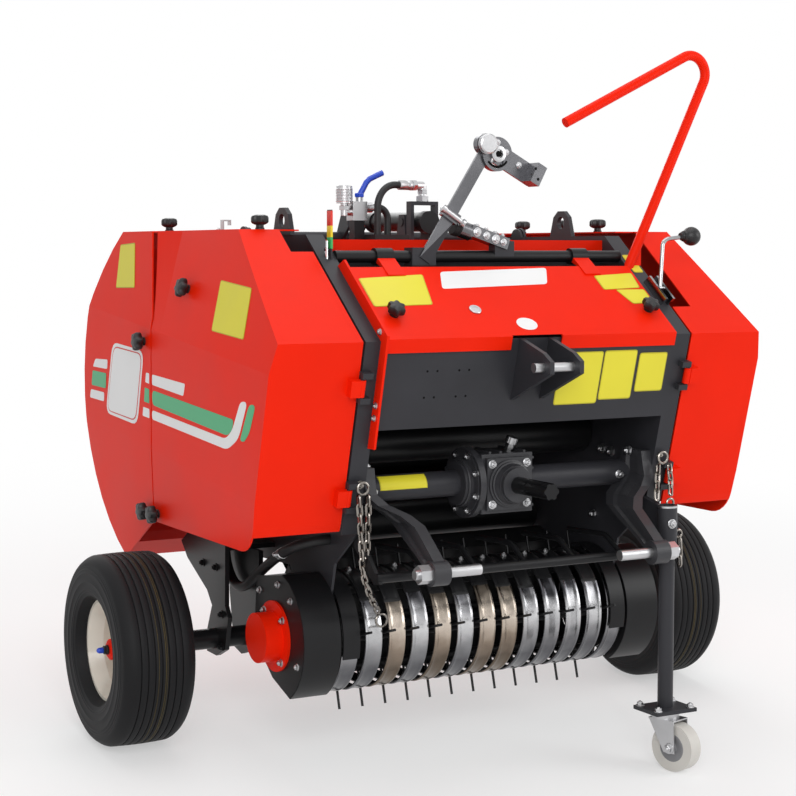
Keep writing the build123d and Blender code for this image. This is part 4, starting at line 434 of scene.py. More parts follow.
# Front panel. The dark sheet between the side plates is drilled for plates that are not fitted: two rows of
# four small holes left of the hitch bracket. Three bolts hold the red guard strip on the left flange.
HOLE_RADIUS = 2.4
HOLE_COLUMNS = (-243.4, -220.7, -170.6, -147.8)
HOLE_ROWS = (805.5, 752.5)
STRIP_BOLTS = ((-529, 886), (-511, 742), (-504, 717))
AHEAD_OF_NOSE = -640
OUT_LEFT = -700
shadow = painted("hole_shadow", (0.003, 0.003, 0.003), 0.7, 0.0, 0.1, shine=0.1)
draft = bmesh.new()
for x in HOLE_COLUMNS:
    for z in HOLE_ROWS:
        at, facing = touch("front_panel", (x, AHEAD_OF_NOSE, z), (0, 1, 0))
        lathe(draft, [(0.05, HOLE_RADIUS), (0.25, HOLE_RADIUS), (0.3, HOLE_RADIUS * 0.7)],
              stood(at, facing), 14)
set_down(draft, "panel_holes", shadow, "chassis")
coat(red, "guard_strip", "top_sheet", "guide_pipe", "gate_shell")
draft = bmesh.new()
for y, z in STRIP_BOLTS:
    bolt(draft, *touch("guard_strip", (OUT_LEFT, y, z), (1, 0, 0)), across=9, head=3.5)
set_down(draft, "strip_bolts", zinc)


# Labels. Notices and plates are film, cut with rounded corners and pressed on the paint by hand.
# The films are blank: yellow for notices, white for plates.
def rounded(corners, radius, steps=4):
    """Outline with its corners rounded off."""
    line = []
    for i, corner in enumerate(corners):
        p, a, b = Vector(corner), Vector(corners[i - 1]), Vector(corners[(i + 1) % len(corners)])
        back, on = a - p, b - p
        cut = min(radius, 0.45 * back.length, 0.45 * on.length)
        start, end = p + back.normalized() * cut, p + on.normalized() * cut
        for k in range(steps + 1):
            t = k / steps
            line.append(start * (1 - t) ** 2 + p * 2 * t * (1 - t) + end * t ** 2)
    return line


def prism(draft, outline, lift):
    """Straight-sided piece: an outline and the same outline moved along."""
    low = [draft.verts.new(p) for p in outline]
    skin(draft, [low, [draft.verts.new(p + lift) for p in outline]])


FILM_REACH = 150
FILM_THICK = 0.35


def film(name, node, corners, aim, finish, body, radius=8, lift=0.35):
    """Film stuck on a CAD surface: its outline is pressed along a direction against the piece it sits on."""
    aim = Vector(aim).normalized()
    spots = []
    for corner in rounded(corners, radius):
        spot, facing = touch(node, corner - aim * FILM_REACH, aim)
        spots.append(spot + facing * lift)
    draft = bmesh.new()
    prism(draft, spots, facing * FILM_THICK)
    return set_down(draft, name, finish, body)


def shrunk(corners, edge):
    """The same outline, taken in towards its middle by a margin."""
    middle = sum((Vector(c) for c in corners), Vector((0, 0, 0))) / len(corners)
    line = []
    for corner in corners:
        run = middle - Vector(corner)
        line.append(Vector(corner) + run.normalized() * edge)
    return line


yellow = painted("yellow_film", (0.74, 0.66, 0.035), 0.42, 0.1, 0.03, patch=0.03, shine=0.3)
white = painted("white_film", (0.84, 0.84, 0.84), 0.40, 0.1, 0.03, patch=0.02, shine=0.3)
green = painted("green_film", (0.07, 0.42, 0.19), 0.42, 0.1, 0.03, patch=0.04, shine=0.3)
margin = painted("label_margin", (0.50, 0.43, 0.02), 0.45, 0.1, 0.03, patch=0.05, shine=0.3)


def notice(name, node, corners, aim, body):
    """Blank yellow notice: a film with a slightly darker printed margin."""
    film(name + "_margin", node, corners, aim, margin, body, radius=6)
    film(name, node, shrunk(corners, 3), aim, yellow, body, radius=5, lift=0.75)


PANEL_NOTICES = {
    "panel_notice_left": ((66, 173), (835, 725)),
    "panel_notice_middle": ((176, 259), (836, 732)),
    "panel_notice_right": ((266, 338), (829, 746)),
}
PANEL_Y = -520
for notice_name, ((x_from, x_to), (z_top, z_foot)) in PANEL_NOTICES.items():
    corners = ((x_from, z_top), (x_to, z_top), (x_to, z_foot), (x_from, z_foot))
    notice(notice_name, "front_panel", [Vector((x, PANEL_Y, z)) for x, z in corners],
           (0, 1, 0), "chassis")
HOOD_SLOPE = math.radians(38.5)
HOOD_DOWN = Vector((0, math.sin(HOOD_SLOPE), -math.cos(HOOD_SLOPE)))
FLANGE_NOTICE = ((358, -324, 1033), (384, -324, 1033), (384, -372, 994), (358, -372, 994))
notice("flange_notice", "side_plate_right", [Vector(p) for p in FLANGE_NOTICE], HOOD_DOWN, "chassis")

# Lid. Red sheet steel hinged on the cross bar. Two black star knobs hold its lower corners, a round zinc lock
# sits between them, and it carries a long white plate, a round white one and three yellow notices, all blank.
coat(red, "hood_lid")
BAR_Y = -322
BAR_Z = 1030
LID_KNOBS = ((-299.6, -481, 916), (316, -480.4, 916.6))
LID_LOCK = (-108.6, -472.4, 922.8)
OVER_HOOD = 100
touch_up("hood_lid", black, lambda p: abs(p.y - BAR_Y) < 19 and abs(p.z - BAR_Z) < 19)
knob_plastic = painted("knob_plastic", (0.010, 0.010, 0.011), 0.40, 0.0, 0.25, shine=0.4)


def sweep(start, stop, step):
    """Angles from one to another in even steps, given in degrees."""
    return [math.radians(a) for a in range(start, stop, step)]


def star_knob(draft, at, facing, radius=18.5, stem=6):
    """Six-lobed hand knob with a domed crown on a short stem."""
    place = stood(at, facing, 0.2)
    lathe(draft, [(0, 9.5), (3, 9.5), (4, 8), (stem, 8), (stem + 1, radius * 0.55)], place, 24)
    crown = ((0, 0.55), (3, 0.88), (6, 1), (14, 1), (18, 0.90), (20, 0.62), (20.6, 0.3))
    lathe(draft, [(stem + rise, radius * share) for rise, share in crown], place, 48, lobe=0.14, lobes=6)


draft = bmesh.new()
for knob_place in LID_KNOBS:
    star_knob(draft, *touch("hood_lid", Vector(knob_place) - HOOD_DOWN * OVER_HOOD, HOOD_DOWN), radius=17)
set_down(draft, "lid_knobs", knob_plastic, "lid")
draft = bmesh.new()
at, facing = touch("hood_lid", Vector(LID_LOCK) - HOOD_DOWN * OVER_HOOD, HOOD_DOWN)
lathe(draft, [(0, 13), (2.5, 13), (3.6, 11.6), (3.6, 8.4), (2, 7.6), (2, 1)],
      stood(at, facing), 32)
set_down(draft, "lid_lock", zinc, "lid")
LID_NOTICES = {
    "lid_notice_left": ((-332, -390, 986), (-179, -381, 993), (-198, -458, 934), (-333, -461, 932)),
    "lid_notice_right": ((239, -388, 988), (343, -381, 993), (337.5, -422, 962), (240, -426, 959)),
    "lid_notice_corner": ((270, -425, 958), (345, -425, 958), (345, -462, 931), (289, -464, 929)),
}
for notice_name, corners in LID_NOTICES.items():
    notice(notice_name, "hood_lid", [Vector(c) for c in corners], HOOD_DOWN, "lid")
LID_PLATE = ((-134, -375, 998), (132, -366, 1005), (107, -409, 972), (-154, -419, 964.5))
film("lid_plate", "hood_lid", [Vector(c) for c in LID_PLATE], HOOD_DOWN, white, "lid", radius=9)
ROUND_PLATE = Vector((-8, -509.5, 894))
ROUND_PLATE_RADIUS = 19
ROUND_PLATE_STRETCH = 1.25
hood_across = Vector((ROUND_PLATE_STRETCH * ROUND_PLATE_RADIUS, 0, 0))
hood_along = Vector((0, math.cos(HOOD_SLOPE), math.sin(HOOD_SLOPE))) * ROUND_PLATE_RADIUS
film("lid_round_plate", "hood_lid",
     [ROUND_PLATE + hood_across * math.cos(a) + hood_along * math.sin(a) for a in sweep(0, 360, 15)],
     HOOD_DOWN, white, "lid", radius=1)

# Front doors. Each is one pressed sheet with two creases, hinged on the frame's front edge. The left one is
# striped white, green and white in film. Black star knobs and a zinc catch hold the doors shut.
coat(red, "front_cover_left", "front_cover_right")
SIDE_IN = Vector((1, 0, 0))
DOWN = Vector((0, 0, -1))
SIDE_X = -587
UPPER_SIDE_X = -570
FAR_LEFT = -800
OVERHEAD = 1300
DOOR_STRIPES = {
    "door_stripe_upper": (white, ((79, 776), (-106, 767), (-96, 741), (80, 753.5)), 5),
    "door_stripe_green": (green, ((80, 742), (-354, 712), (-345, 690), (-322, 678), (80, 710)), 26),
    "door_stripe_lower": (white, ((81, 698.5), (-314, 671), (-346, 690), (-387, 751), (-419, 751),
                                  (-376, 676), (-322, 650), (82, 678.5)), 20),
    "door_stripe_outer": (green, ((-428, 748), (-457, 748), (-428, 692), (-402, 672), (-383, 674)), 14),
}
DOOR_NOTICE = ((-222.6, 983), (-376, 969.6), (-381.5, 869.3), (-225.5, 881))


def on_side(outline, x):
    """Outline of (y, z) points stood up at the machine's left side."""
    return [Vector((x, y, z)) for y, z in outline]


for stripe_name, (finish, outline, radius) in DOOR_STRIPES.items():
    film(stripe_name, "front_cover_left", on_side(outline, SIDE_X), SIDE_IN, finish, "door_left",
         radius=radius)
notice("door_notice", "front_cover_left", on_side(DOOR_NOTICE, UPPER_SIDE_X), SIDE_IN, "door_left")
draft = bmesh.new()
for y, z in ((-66, 961.9), (66, 474)):
    star_knob(draft, *touch("front_cover_left", (FAR_LEFT, y, z), SIDE_IN))
star_knob(draft, *touch("front_cover_left", (-480, -247, OVERHEAD), DOWN), radius=17, stem=9)
set_down(draft, "door_knobs_left", knob_plastic, "door_left")
CLIP_SHAPE = ((0, 0), (3, 0), (3, 22), (17, 22), (17, 13), (20, 13), (20, 25), (0, 25))
at, facing = touch("front_cover_left", (-410, 100, OVERHEAD), DOWN)
draft = bmesh.new()
prism(draft, [at + Vector((x, 0, z)) for x, z in CLIP_SHAPE], Vector((0, 14, 0)))
bolt(draft, at + Vector((-8, 7, 0)), facing, across=8, head=4)
set_down(draft, "door_catch", zinc, "door_left")
draft = bmesh.new()
for x, y in ((430, -130), (430, 20)):
    star_knob(draft, *touch("front_cover_right", (x, y, OVERHEAD), DOWN), radius=17, stem=9)
set_down(draft, "door_knobs_right", knob_plastic, "door_right")

# Tailgate covers. Two round-ended red pressings that turn with the tailgate. The stripes run on over the
# seam, and a leaning white plate with a thin red line stands between them.
coat(red, "gate_cover_left", "gate_cover_right")
GATE_STRIPES = {
    "gate_stripe_upper_front": (white, ((115, 778), (97, 777), (98, 754.5), (120, 757)), 3),
    "gate_stripe_upper": (white, ((438, 792), (357, 794), (360, 772), (456, 773)), 6),
    "gate_stripe_green_front": (green, ((124, 745), (98, 743), (98, 711.5), (129, 714)), 3),
    "gate_stripe_green": (green, ((459, 764), (367, 762), (371, 727), (467, 729)), 6),
    "gate_stripe_lower_front": (white, ((134, 702), (98, 699.5), (98, 679.5), (138, 682)), 3),
    "gate_stripe_lower": (white, ((472, 719), (382, 717), (384, 696), (479, 699)), 6),
}
for stripe_name, (finish, outline, radius) in GATE_STRIPES.items():
    film(stripe_name, "gate_cover_left", on_side(outline, SIDE_X), SIDE_IN, finish, "tailgate", radius=radius)
BADGE = on_side(((323, 836), (128, 824), (171, 658), (372, 671)), SIDE_X)
line_red = painted("badge_line", (0.62, 0.025, 0.02), 0.42, 0.1, 0.03, patch=0.04, shine=0.3)
BADGE_FILMS = (("plate", 0, white, 30, 0.35), ("line", 11, line_red, 26, 0.75),
               ("field", 15, white, 24, 1.15))
for layer, edge, finish, radius, lift in BADGE_FILMS:
    film("badge_" + layer, "gate_cover_left", shrunk(BADGE, edge), SIDE_IN, finish, "tailgate",
         radius=radius, lift=lift)
GATE_NOTICE = ((248, 1060), (338, 1056), (325, 958), (211, 960))
notice("gate_notice", "gate_cover_left", on_side(GATE_NOTICE, UPPER_SIDE_X), SIDE_IN, "tailgate")
draft = bmesh.new()
for y, z in ((126, 845.6), (124, 474)):
    star_knob(draft, *touch("gate_cover_left", (FAR_LEFT, y, z), SIDE_IN))
for cover, x in (("gate_cover_left", -500), ("gate_cover_right", 430)):
    star_knob(draft, *touch(cover, (x, 190, OVERHEAD), DOWN), radius=17, stem=9)
set_down(draft, "gate_knobs", knob_plastic, "tailgate")


# Roof. A black ram lifts the tailgate. Its oil comes through a zinc shut-off valve with a blue lever, a
# ringed quick coupler and two rubber hoses with crimped ferrules. A strip in red, yellow and green shows how
# full the chamber is.
def tube(draft, path, radius, sides=10, closed=False):
    """Round bar or wire along a run of points."""
    points = [Vector(p) for p in path]
    count = len(points)
    rings = []
    side = None
    for i, point in enumerate(points):
        before = points[i - 1] if i or closed else point
        after = points[(i + 1) % count] if i < count - 1 or closed else point
        run = (after - before).normalized()
        side = run.orthogonal() if side is None else side
        side = (side - run * side.dot(run)).normalized()
        over = run.cross(side)
        turns = [math.tau * k / sides for k in range(sides)]
        spokes = [(side * math.cos(a) + over * math.sin(a)) * radius for a in turns]
        rings.append([draft.verts.new(point + spoke) for spoke in spokes])
    skin(draft, rings, closed)


chrome = painted("chrome_plate", (0.72, 0.72, 0.74), 0.10, 0.0, 0.02, patch=0.06, metal=1.0)
coat(chrome, "ram_rod")
coat(hose_rubber, "hoses", "grommet")
VALVE = Vector((-216, -165, 1126))
touch_up("hydraulic_fittings", black, lambda p: p.z < VALVE.z - 18 and p.x < -180)
COUPLER = VALVE + Vector((-30, 0, 16))
COUPLER_RINGS = 9
COUPLER_PITCH = 3.2
FITTING = Vector((-60, -172, 1182))
UP = Vector((0, 0, 1))
draft = bmesh.new()
coupler_place = stood(COUPLER, UP)
for i in range(COUPLER_RINGS):
    foot = 3 + i * COUPLER_PITCH
    lathe(draft, [(foot, 17.2), (foot + 0.8, 18), (foot + 2.2, 18), (foot + 3, 17.2)],
          coupler_place, 36)
lathe(draft, [(35.8, 14), (37.5, 13.2), (37.5, 8), (36.2, 7.4)], coupler_place, 36)
lathe(draft, [(-14, 12), (-6, 12), (-5, 10.5)], coupler_place, 6)
hose_out = Vector((-186, -202, FITTING.z))
elbow_run = (hose_out - FITTING).normalized()
ferrule_place = stood(FITTING + elbow_run * 22, elbow_run)
lathe(draft, [(0, 10.5), (1, 12.4), (11, 12.4), (12, 10.5)], ferrule_place, 6)
lathe(draft, [(13, 9.6), (16, 10.4), (24, 10.4), (25, 9.8), (27, 9.8), (28, 10.4), (46, 10.4),
              (47.5, 8.4)], ferrule_place, 24)
lathe(draft, [(0, 13.4), (1, 15), (11, 15), (12, 13.4)], stood(FITTING - UP * 33.8, UP), 6)
lathe(draft, [(0, 10), (1, 11.6), (9, 11.6), (10, 10)], stood(FITTING - UP * 18, UP), 6)
lathe(draft, [(0, 10.2), (1, 11), (16, 11), (17.5, 8.6)],
      stood(VALVE + Vector((18, 0, 8)), (1, 0, 0)), 24)
set_down(draft, "oil_fittings", zinc)
draft = bmesh.new()
LEVER_BENDS = ((6, 33), (13, 44), (22, 60), (30, 68), (46, 75.5), (61.5, 82))
tube(draft, [VALVE + Vector((x, 0, z)) for x, z in LEVER_BENDS], 6.4, 12)
lathe(draft, [(29, 9.2), (31, 11), (36.5, 11), (38, 9.4)],
      stood(VALVE + Vector((6, 0, 0)), UP), 6)
set_down(draft, "valve_lever", blue)
GAUGE_X = -364
GAUGE_FOOT_Z = 1024
NOSE_TOP_Y = -532
NOSE_TOP_Z = 867
gauge_y = NOSE_TOP_Y + (GAUGE_FOOT_Z - NOSE_TOP_Z) / math.tan(HOOD_SLOPE)
GAUGE_BANDS = (
    ("gauge_red", (0.68, 0.03, 0.015), 1092, 1122),
    ("gauge_yellow", (0.80, 0.62, 0.02), 1069, 1092),
    ("gauge_green", (0.03, 0.40, 0.10), 1046, 1069),
)
for band_name, colour, z_from, z_to in GAUGE_BANDS:
    finish = painted(band_name, colour, 0.42, 0.1, 0.05, patch=0.05)
    draft = bmesh.new()
    left, right = GAUGE_X - 0.5, GAUGE_X + 4.5
    corners = ((left, z_from), (right, z_from), (right, z_to), (left, z_to))
    lap = [Vector((x, gauge_y - 0.5, z)) for x, z in corners]
    prism(draft, rounded(lap, 0.4, 2), Vector((0, 17, 0)))
    set_down(draft, band_name + "_band", finish, "chassis")
draft = bmesh.new()
POINTER_WIRE = 2.6
pointer_x = GAUGE_X - 7
tube(draft, [(pointer_x, gauge_y + 4, z) for z in (1020, 1026, 1040, 1060, 1062)],
     POINTER_WIRE, 10)
tube(draft, [(pointer_x, gauge_y + back, z) for back, z in ((4, 1030), (8, 1038), (8, 1044))],
     POINTER_WIRE, 10)
set_down(draft, "gauge_pointer", chrome)

# Twine gear. A bright flat bar is clamped to the cross bar and carries a slotted guide. Beside it a cast
# tensioner with a spring cap and a row of nuts holds the twine back.
bright = painted("bright_steel", (0.17, 0.17, 0.18), 0.25, 0.0, 0.06, patch=0.25, metal=1.0)
coat(bright, "twine_arm", "twine_tensioner")
touch_up("twine_arm", charcoal, lambda p: p.z < BAR_Z + 28)
touch_up("twine_tensioner", charcoal, lambda p: p.z < BAR_Z + 30 and p.x > 22)
BAR_RADIUS = 12.5
CLAMP_WALL = 4
ARM_HALF = 3
arm_front = BAR_Y - BAR_RADIUS - CLAMP_WALL - ARM_HALF
arm_lean = Vector((144, 0, 222)).normalized()
arm_foot = Vector((-150, arm_front, 1022))
FRONT = Vector((0, -1, 0))
draft = bmesh.new()
clamp_middle = arm_foot + arm_lean * 111
lathe(draft, [(-30, 6), (-29, 8.6), (-22, 8.6), (-21, 6), (24, 6), (25, 9.4), (32, 9.4),
              (33, 7)], stood(clamp_middle + FRONT * 9, (0.84, 0, -0.54)), 16)
arm_head = arm_foot + arm_lean * 264.6
for dx, dz in ((28, 24), (49, 4), (84, -22)):
    before = arm_head + Vector((dx, -90, dz))
    bolt(draft, *touch("twine_arm", before, (0, 1, 0)), across=9, head=4)
lathe(draft, [(0, 19), (2, 21), (4, 21), (5, 17), (9, 17), (10, 21), (12, 21),
              (14, 18)], stood(arm_head + Vector((0, -6, 20)), FRONT), 32)
hub = arm_head + Vector((28, -5.2, 0))
lathe(draft, [(0, 16), (2, 17), (6, 17), (7, 13), (7, 9), (5, 8), (5, 2)],
      stood(hub, FRONT), 36)
set_down(draft, "twine_arm_fittings", zinc)
draft = bmesh.new()
lathe(draft, [(5, 7), (7.5, 7), (8.5, 5)], stood(hub, FRONT), 6)
SLOT_RADIUS = 27
slot = [hub + Vector((SLOT_RADIUS * math.cos(a), 0.6, SLOT_RADIUS * math.sin(a))) for a in sweep(215, 330, 8)]
tube(draft, slot, 2.6, 8)
for shift in (Vector((104, -35, -30)), Vector((110, -35, -52))):
    lathe(draft, [(0, 3.2), (0.5, 3.2), (0.6, 2.6)], stood(arm_head + shift, FRONT), 14)
set_down(draft, "twine_arm_slots", shadow)
draft = bmesh.new()
TENSION_SLOPE = math.radians(18)
tension_run = Vector((math.cos(TENSION_SLOPE), 0, -math.sin(TENSION_SLOPE)))
tension_up = Vector((math.sin(TENSION_SLOPE), 0, math.cos(TENSION_SLOPE)))
tension_mid = Vector((10, BAR_Y, BAR_Z + BAR_RADIUS + 28))
for along, size in ((-34, 13), (-10, 11), (14, 13), (34, 10)):
    nut_middle = tension_mid + tension_run * along
    bolt(draft, nut_middle + FRONT * 17, FRONT, across=size, head=5)
    bolt(draft, nut_middle + tension_run * 4 + tension_up * 12, tension_up, across=size * 0.8, head=4.5)
set_down(draft, "tensioner_nuts", zinc)
draft = bmesh.new()
cap_end = Vector((-44, BAR_Y, BAR_Z + BAR_RADIUS + 42)) - tension_run * 14.2
lathe(draft, [(0, 18.6), (4, 19.2), (5, 18.2), (7, 18.2), (8, 19.2), (12, 19.2), (15, 17.4),
              (16, 12)], stood(cap_end, -tension_run), 32)
set_down(draft, "tensioner_cap", boot_rubber, "chassis")

# Pickup. Thirteen pressed steel bands wrap the tined reel. Their faces are worn bare and scuffed, some with a
# bronze tint from heat, and carry a painted reflection that lightens them towards the top of the bare part.
# They are black above, and each is rolled up along both edges. A black pan behind the reel, standing in for
# the shade inside the chamber, leads the crop to the rollers, and a red bearing cap closes each end housing.
BAND_PITCH = 55
BAND_COUNT = 13
BAND_RADIUS = 126
BAND_FOOT_ANGLE = 262
BAND_TOP_ANGLE = 68
BAND_BOLT_ANGLE = 96
PICKUP = Vector((0, -224, 245))
BAND_SHAPE = ((-19.5, 0.1), (-18.6, 1.7), (-15, 2.3), (-12.5, 1), (-6, 0.7), (6, 0.7), (12.5, 1),
              (15, 2.3), (18.6, 1.7), (19.5, 0.1))
BAND_BACK = ((18, 0.05), (-18, 0.05))
band_black = painted("band_black", (0.010, 0.010, 0.011), 0.34, 0.1, 0.15, shine=0.4)
coat(band_black, "pickup_bands")


def scuffed_metal_with_painted_sheen(name, shades, rough):
    """Bare sheet scuffed by the crop, with a painted reflection: its shade changes from the band's foot to
    its crown, brightest just below the crown.
    """
    finish = painted(name, shades[0], rough, 0.0, 0.12, peel_scale=120.0, patch=0.2, metal=1.0)
    tree = finish.node_tree
    place = added(tree, "TexCoord")
    split = added(tree, "SeparateXYZ")
    height = added(tree, "MapRange", {"From Min": 0.10, "From Max": 0.37})
    scuff = added(tree, "TexNoise", {"Scale": 22.0})
    shift = added(tree, "Math", {1: 0.22}, "MULTIPLY_ADD")
    # This ramp is painted light: the shade rises with height to a painted highlight near the top of the bare
    # face.
    ramp = added(tree, "ValToRGB")
    shader = tree.nodes["Principled BSDF"]
    stops = ramp.color_ramp.elements
    stops[0].color = (*shades[0], 1)
    stops[1].color = (*shades[-1], 1)
    for i, shade in enumerate(shades[1:-1], 1):
        stops.new(i / (len(shades) - 1)).color = (*shade, 1)
    wire(tree, (place, "Object", split, "Vector"), (place, "Object", scuff, "Vector"),
         (split, "Z", height, "Value"), (scuff, "Fac", shift, 0), (height, "Result", shift, 2),
         (shift, "Value", ramp, "Fac"), (ramp, "Color", shader, "Base Color"))
    return finish


# The bright second-last shade in each list is a painted highlight.
band_steel = scuffed_metal_with_painted_sheen("band_steel", ((0.06, 0.06, 0.065), (0.10, 0.10, 0.11), (0.15, 0.15, 0.16),
                                       (0.13, 0.13, 0.14), (0.30, 0.30, 0.31), (0.62, 0.62, 0.63),
                                       (0.10, 0.10, 0.11)), 0.24)
band_bronze = scuffed_metal_with_painted_sheen("band_bronze", ((0.06, 0.05, 0.045), (0.11, 0.085, 0.06), (0.17, 0.13, 0.095),
                                         (0.14, 0.11, 0.085), (0.30, 0.24, 0.19), (0.62, 0.54, 0.46),
                                         (0.09, 0.075, 0.06)), 0.25)
BRONZE_BANDS = (2, 4, 6, 7)


def band_strip(draft, middle, from_angle, to_angle, steps):
    """Pressed strip bent round the pickup, with rolled edges."""
    rings = []
    for k in range(steps + 1):
        turn = math.radians(from_angle + (to_angle - from_angle) * k / steps)
        out = Vector((0, math.cos(turn), math.sin(turn)))
        rings.append([draft.verts.new(PICKUP + Vector((middle + x, 0, 0)) + out * (BAND_RADIUS + rise))
                      for x, rise in BAND_SHAPE + BAND_BACK])
    skin(draft, rings)


steel_draft = bmesh.new()
bronze_draft = bmesh.new()
upper_draft = bmesh.new()
band_bolt_draft = bmesh.new()
for i in range(BAND_COUNT):
    middle = (i - (BAND_COUNT - 1) / 2) * BAND_PITCH
    worn = 139 + 4 * ((i * 7) % 3)
    band_strip(bronze_draft if i in BRONZE_BANDS else steel_draft, middle, worn, BAND_FOOT_ANGLE, 34)
    band_strip(upper_draft, middle, BAND_TOP_ANGLE, worn - 3, 20)
    turn = math.radians(BAND_BOLT_ANGLE)
    out = Vector((0, math.cos(turn), math.sin(turn)))
    at = PICKUP + Vector((middle, 0, 0)) + out * (BAND_RADIUS + 1)
    bolt(band_bolt_draft, at, out, across=9, head=4)
set_down(steel_draft, "band_faces", band_steel)
set_down(bronze_draft, "band_faces_tinted", band_bronze)
set_down(upper_draft, "band_tops", band_black)
set_down(band_bolt_draft, "band_bolts", zinc)


def bent_sheet(draft, line, thick, x_from, x_to):
    """Sheet bent along a line of (y, z) points and running across the machine."""
    points = [Vector((x_from, y, z)) for y, z in line]
    outer = []
    for i, point in enumerate(points):
        run = (points[min(i + 1, len(points) - 1)] - points[max(i - 1, 0)]).normalized()
        outer.append(point + Vector((0, run.z, -run.y)) * thick)
    prism(draft, points + outer[::-1], Vector((x_to - x_from, 0, 0)))


# The pan is black sheet that stands in for the shade inside the pickup chamber, seen through the gaps between
# the bands and below the rollers.
PAN_RADIUS = 176
PAN_HALF = 349.6
PAN_THICK = 3
PAN_LIP = ((-9, 389), (-50, 379))
CHEEK_RADIUS = 122
pan_turns = sweep(45, -46, -6)
pan_arc = side_arc(PICKUP, PAN_RADIUS, pan_turns)
cheek = pan_arc + side_arc(PICKUP, CHEEK_RADIUS, reversed(pan_turns))
draft = bmesh.new()
bent_sheet(draft, [*PAN_LIP, *pan_arc], PAN_THICK, -PAN_HALF, PAN_HALF)
for x in (-PAN_HALF, PAN_HALF - PAN_THICK):
    prism(draft, [Vector((x, y, z)) for y, z in cheek], Vector((PAN_THICK, 0, 0)))
set_down(draft, "pan_for_shade", band_black, "chassis")
HOUSING_RADIUS = 137.6
HOUSING_FROM = 356.3
HOUSING_TO = 439.6
CAP_BOLT_CIRCLE = 63
CAP_FLANGE_X = 445
HOUSING_BOLTS = ((-300, 330), (-240, 355), (-150, 330), (-330, 200))
HOUSING_WALL_X = 440
housing_line = side_arc(PICKUP, HOUSING_RADIUS, sweep(240, 104, -3))
draft = bmesh.new()
for side in (-1, 1):
    bent_sheet(draft, housing_line, 0.5, side * HOUSING_FROM, side * HOUSING_TO)
set_down(draft, "housing_skins", black, "chassis")
coat(red, "end_caps")
draft = bmesh.new()
for side in (-1, 1):
    for y, z in side_arc(PICKUP, CAP_BOLT_CIRCLE, sweep(50, 360, 90)):
        bolt(draft, (side * CAP_FLANGE_X, y, z), (side, 0, 0), across=11, head=6)
    for y, z in HOUSING_BOLTS:
        bolt(draft, (side * HOUSING_WALL_X, y, z), (side, 0, 0), across=10, head=4.5)
set_down(draft, "housing_bolts", zinc)

# Gearbox. A cast housing hangs between two tubes. Eight bolts hold its round side flange and four its square
# input flange. A bright breather plug screws in on top, and ribs stiffen the casting.
cast = painted("cast_paint", (0.030, 0.030, 0.034), 0.45, 0.08, 0.6, peel_scale=220.0, shine=0.4)
coat(cast, "gearbox", "hitch_arms")
GEARBOX = Vector((0, -372, 560))
CASE_HALF = 62
SIDE_FLANGE_X = -76
SIDE_BOLT_CIRCLE = 61
INPUT_BOLT_HALF = 42
draft = bmesh.new()
for y, z in side_arc(GEARBOX, SIDE_BOLT_CIRCLE, sweep(22, 382, 45)):
    bolt(draft, (SIDE_FLANGE_X, y, z), (-1, 0, 0), across=11, head=6)
for x in (-INPUT_BOLT_HALF, INPUT_BOLT_HALF):
    for z in (-INPUT_BOLT_HALF, INPUT_BOLT_HALF):
        bolt(draft, GEARBOX + Vector((x, -CASE_HALF, z)), FRONT, across=12, head=6.5)
set_down(draft, "gearbox_bolts", zinc)
draft = bmesh.new()
plug_place = stood(GEARBOX + Vector((22, -18, CASE_HALF)), (0.25, -0.25, 0.93))
lathe(draft, [(-2, 8), (8, 8), (8.5, 11), (15, 11), (15.5, 9), (18, 9)], plug_place, 6)
lathe(draft, [(18, 9), (19, 12.6), (32, 12.6), (33.5, 11), (34, 5)], plug_place, 36,
      lobe=0.02, lobes=18)
set_down(draft, "gearbox_breather", zinc)
draft = bmesh.new()
lathe(draft, [(0, 50), (4, 50), (5, 46), (10, 46), (11, 43), (18, 41), (22, 38.5),
              (24, 38.5)], stood(GEARBOX + FRONT * CASE_HALF, FRONT), 40)
lathe(draft, [(0, 67), (1, 68), (3, 68), (4, 52), (9, 52), (10, 50), (13, 49)],
      stood(GEARBOX + Vector((SIDE_FLANGE_X - 0.2, 0, 0)), (-1, 0, 0)), 48)
RIB_HIGH = 5
RIB_SHAPE = ((-50, -3), (52, -3), (52, 3), (-50, 3))
for z in (-50, -28, 28, 50):
    rib = [GEARBOX + Vector((CASE_HALF, y, z + wide)) for y, wide in RIB_SHAPE]
    prism(draft, rounded(rib, 2, 3), Vector((RIB_HIGH, 0, 0)))
for x in (-40, -14, 44):
    rib = [GEARBOX + Vector((x + wide, y, CASE_HALF)) for y, wide in RIB_SHAPE]
    prism(draft, rounded(rib, 2, 3), UP * RIB_HIGH)
set_down(draft, "gearbox_casting", cast, "chassis")
DRIVE_TUBE_RADIUS = 27
NOTICE_FROM = -286
NOTICE_TO = -176
TUBE_NOTICES = (("tube_notice_margin", 0.2, margin, 0), ("tube_notice", 0.5, yellow, 2))
for label_name, grow, finish, inset in TUBE_NOTICES:
    wrap = sweep(112 + int(2 * inset), 190 - int(2 * inset), 6)
    draft = bmesh.new()
    bent_sheet(draft, side_arc(GEARBOX, DRIVE_TUBE_RADIUS + grow, reversed(wrap)), 0.3,
               NOTICE_FROM + inset, NOTICE_TO - inset)
    set_down(draft, label_name, finish, "chassis")
SIDE_PLATE_X = 350
PLATE_NUTS = ((-272, 601, 15), (-306, 597, 15), (-200, 640, 13), (-240, 450, 12))
draft = bmesh.new()
for side in (1, -1):
    for y, z, size in PLATE_NUTS:
        bolt(draft, (side * SIDE_PLATE_X, y, z), (-side, 0, 0), across=size, head=9)
    bolt(draft, (side * 327, -403, 610), (-side, 0, 0), across=14, head=9)
    bolt(draft, (side * 303, -398.5, 558), FRONT, across=12, head=10)
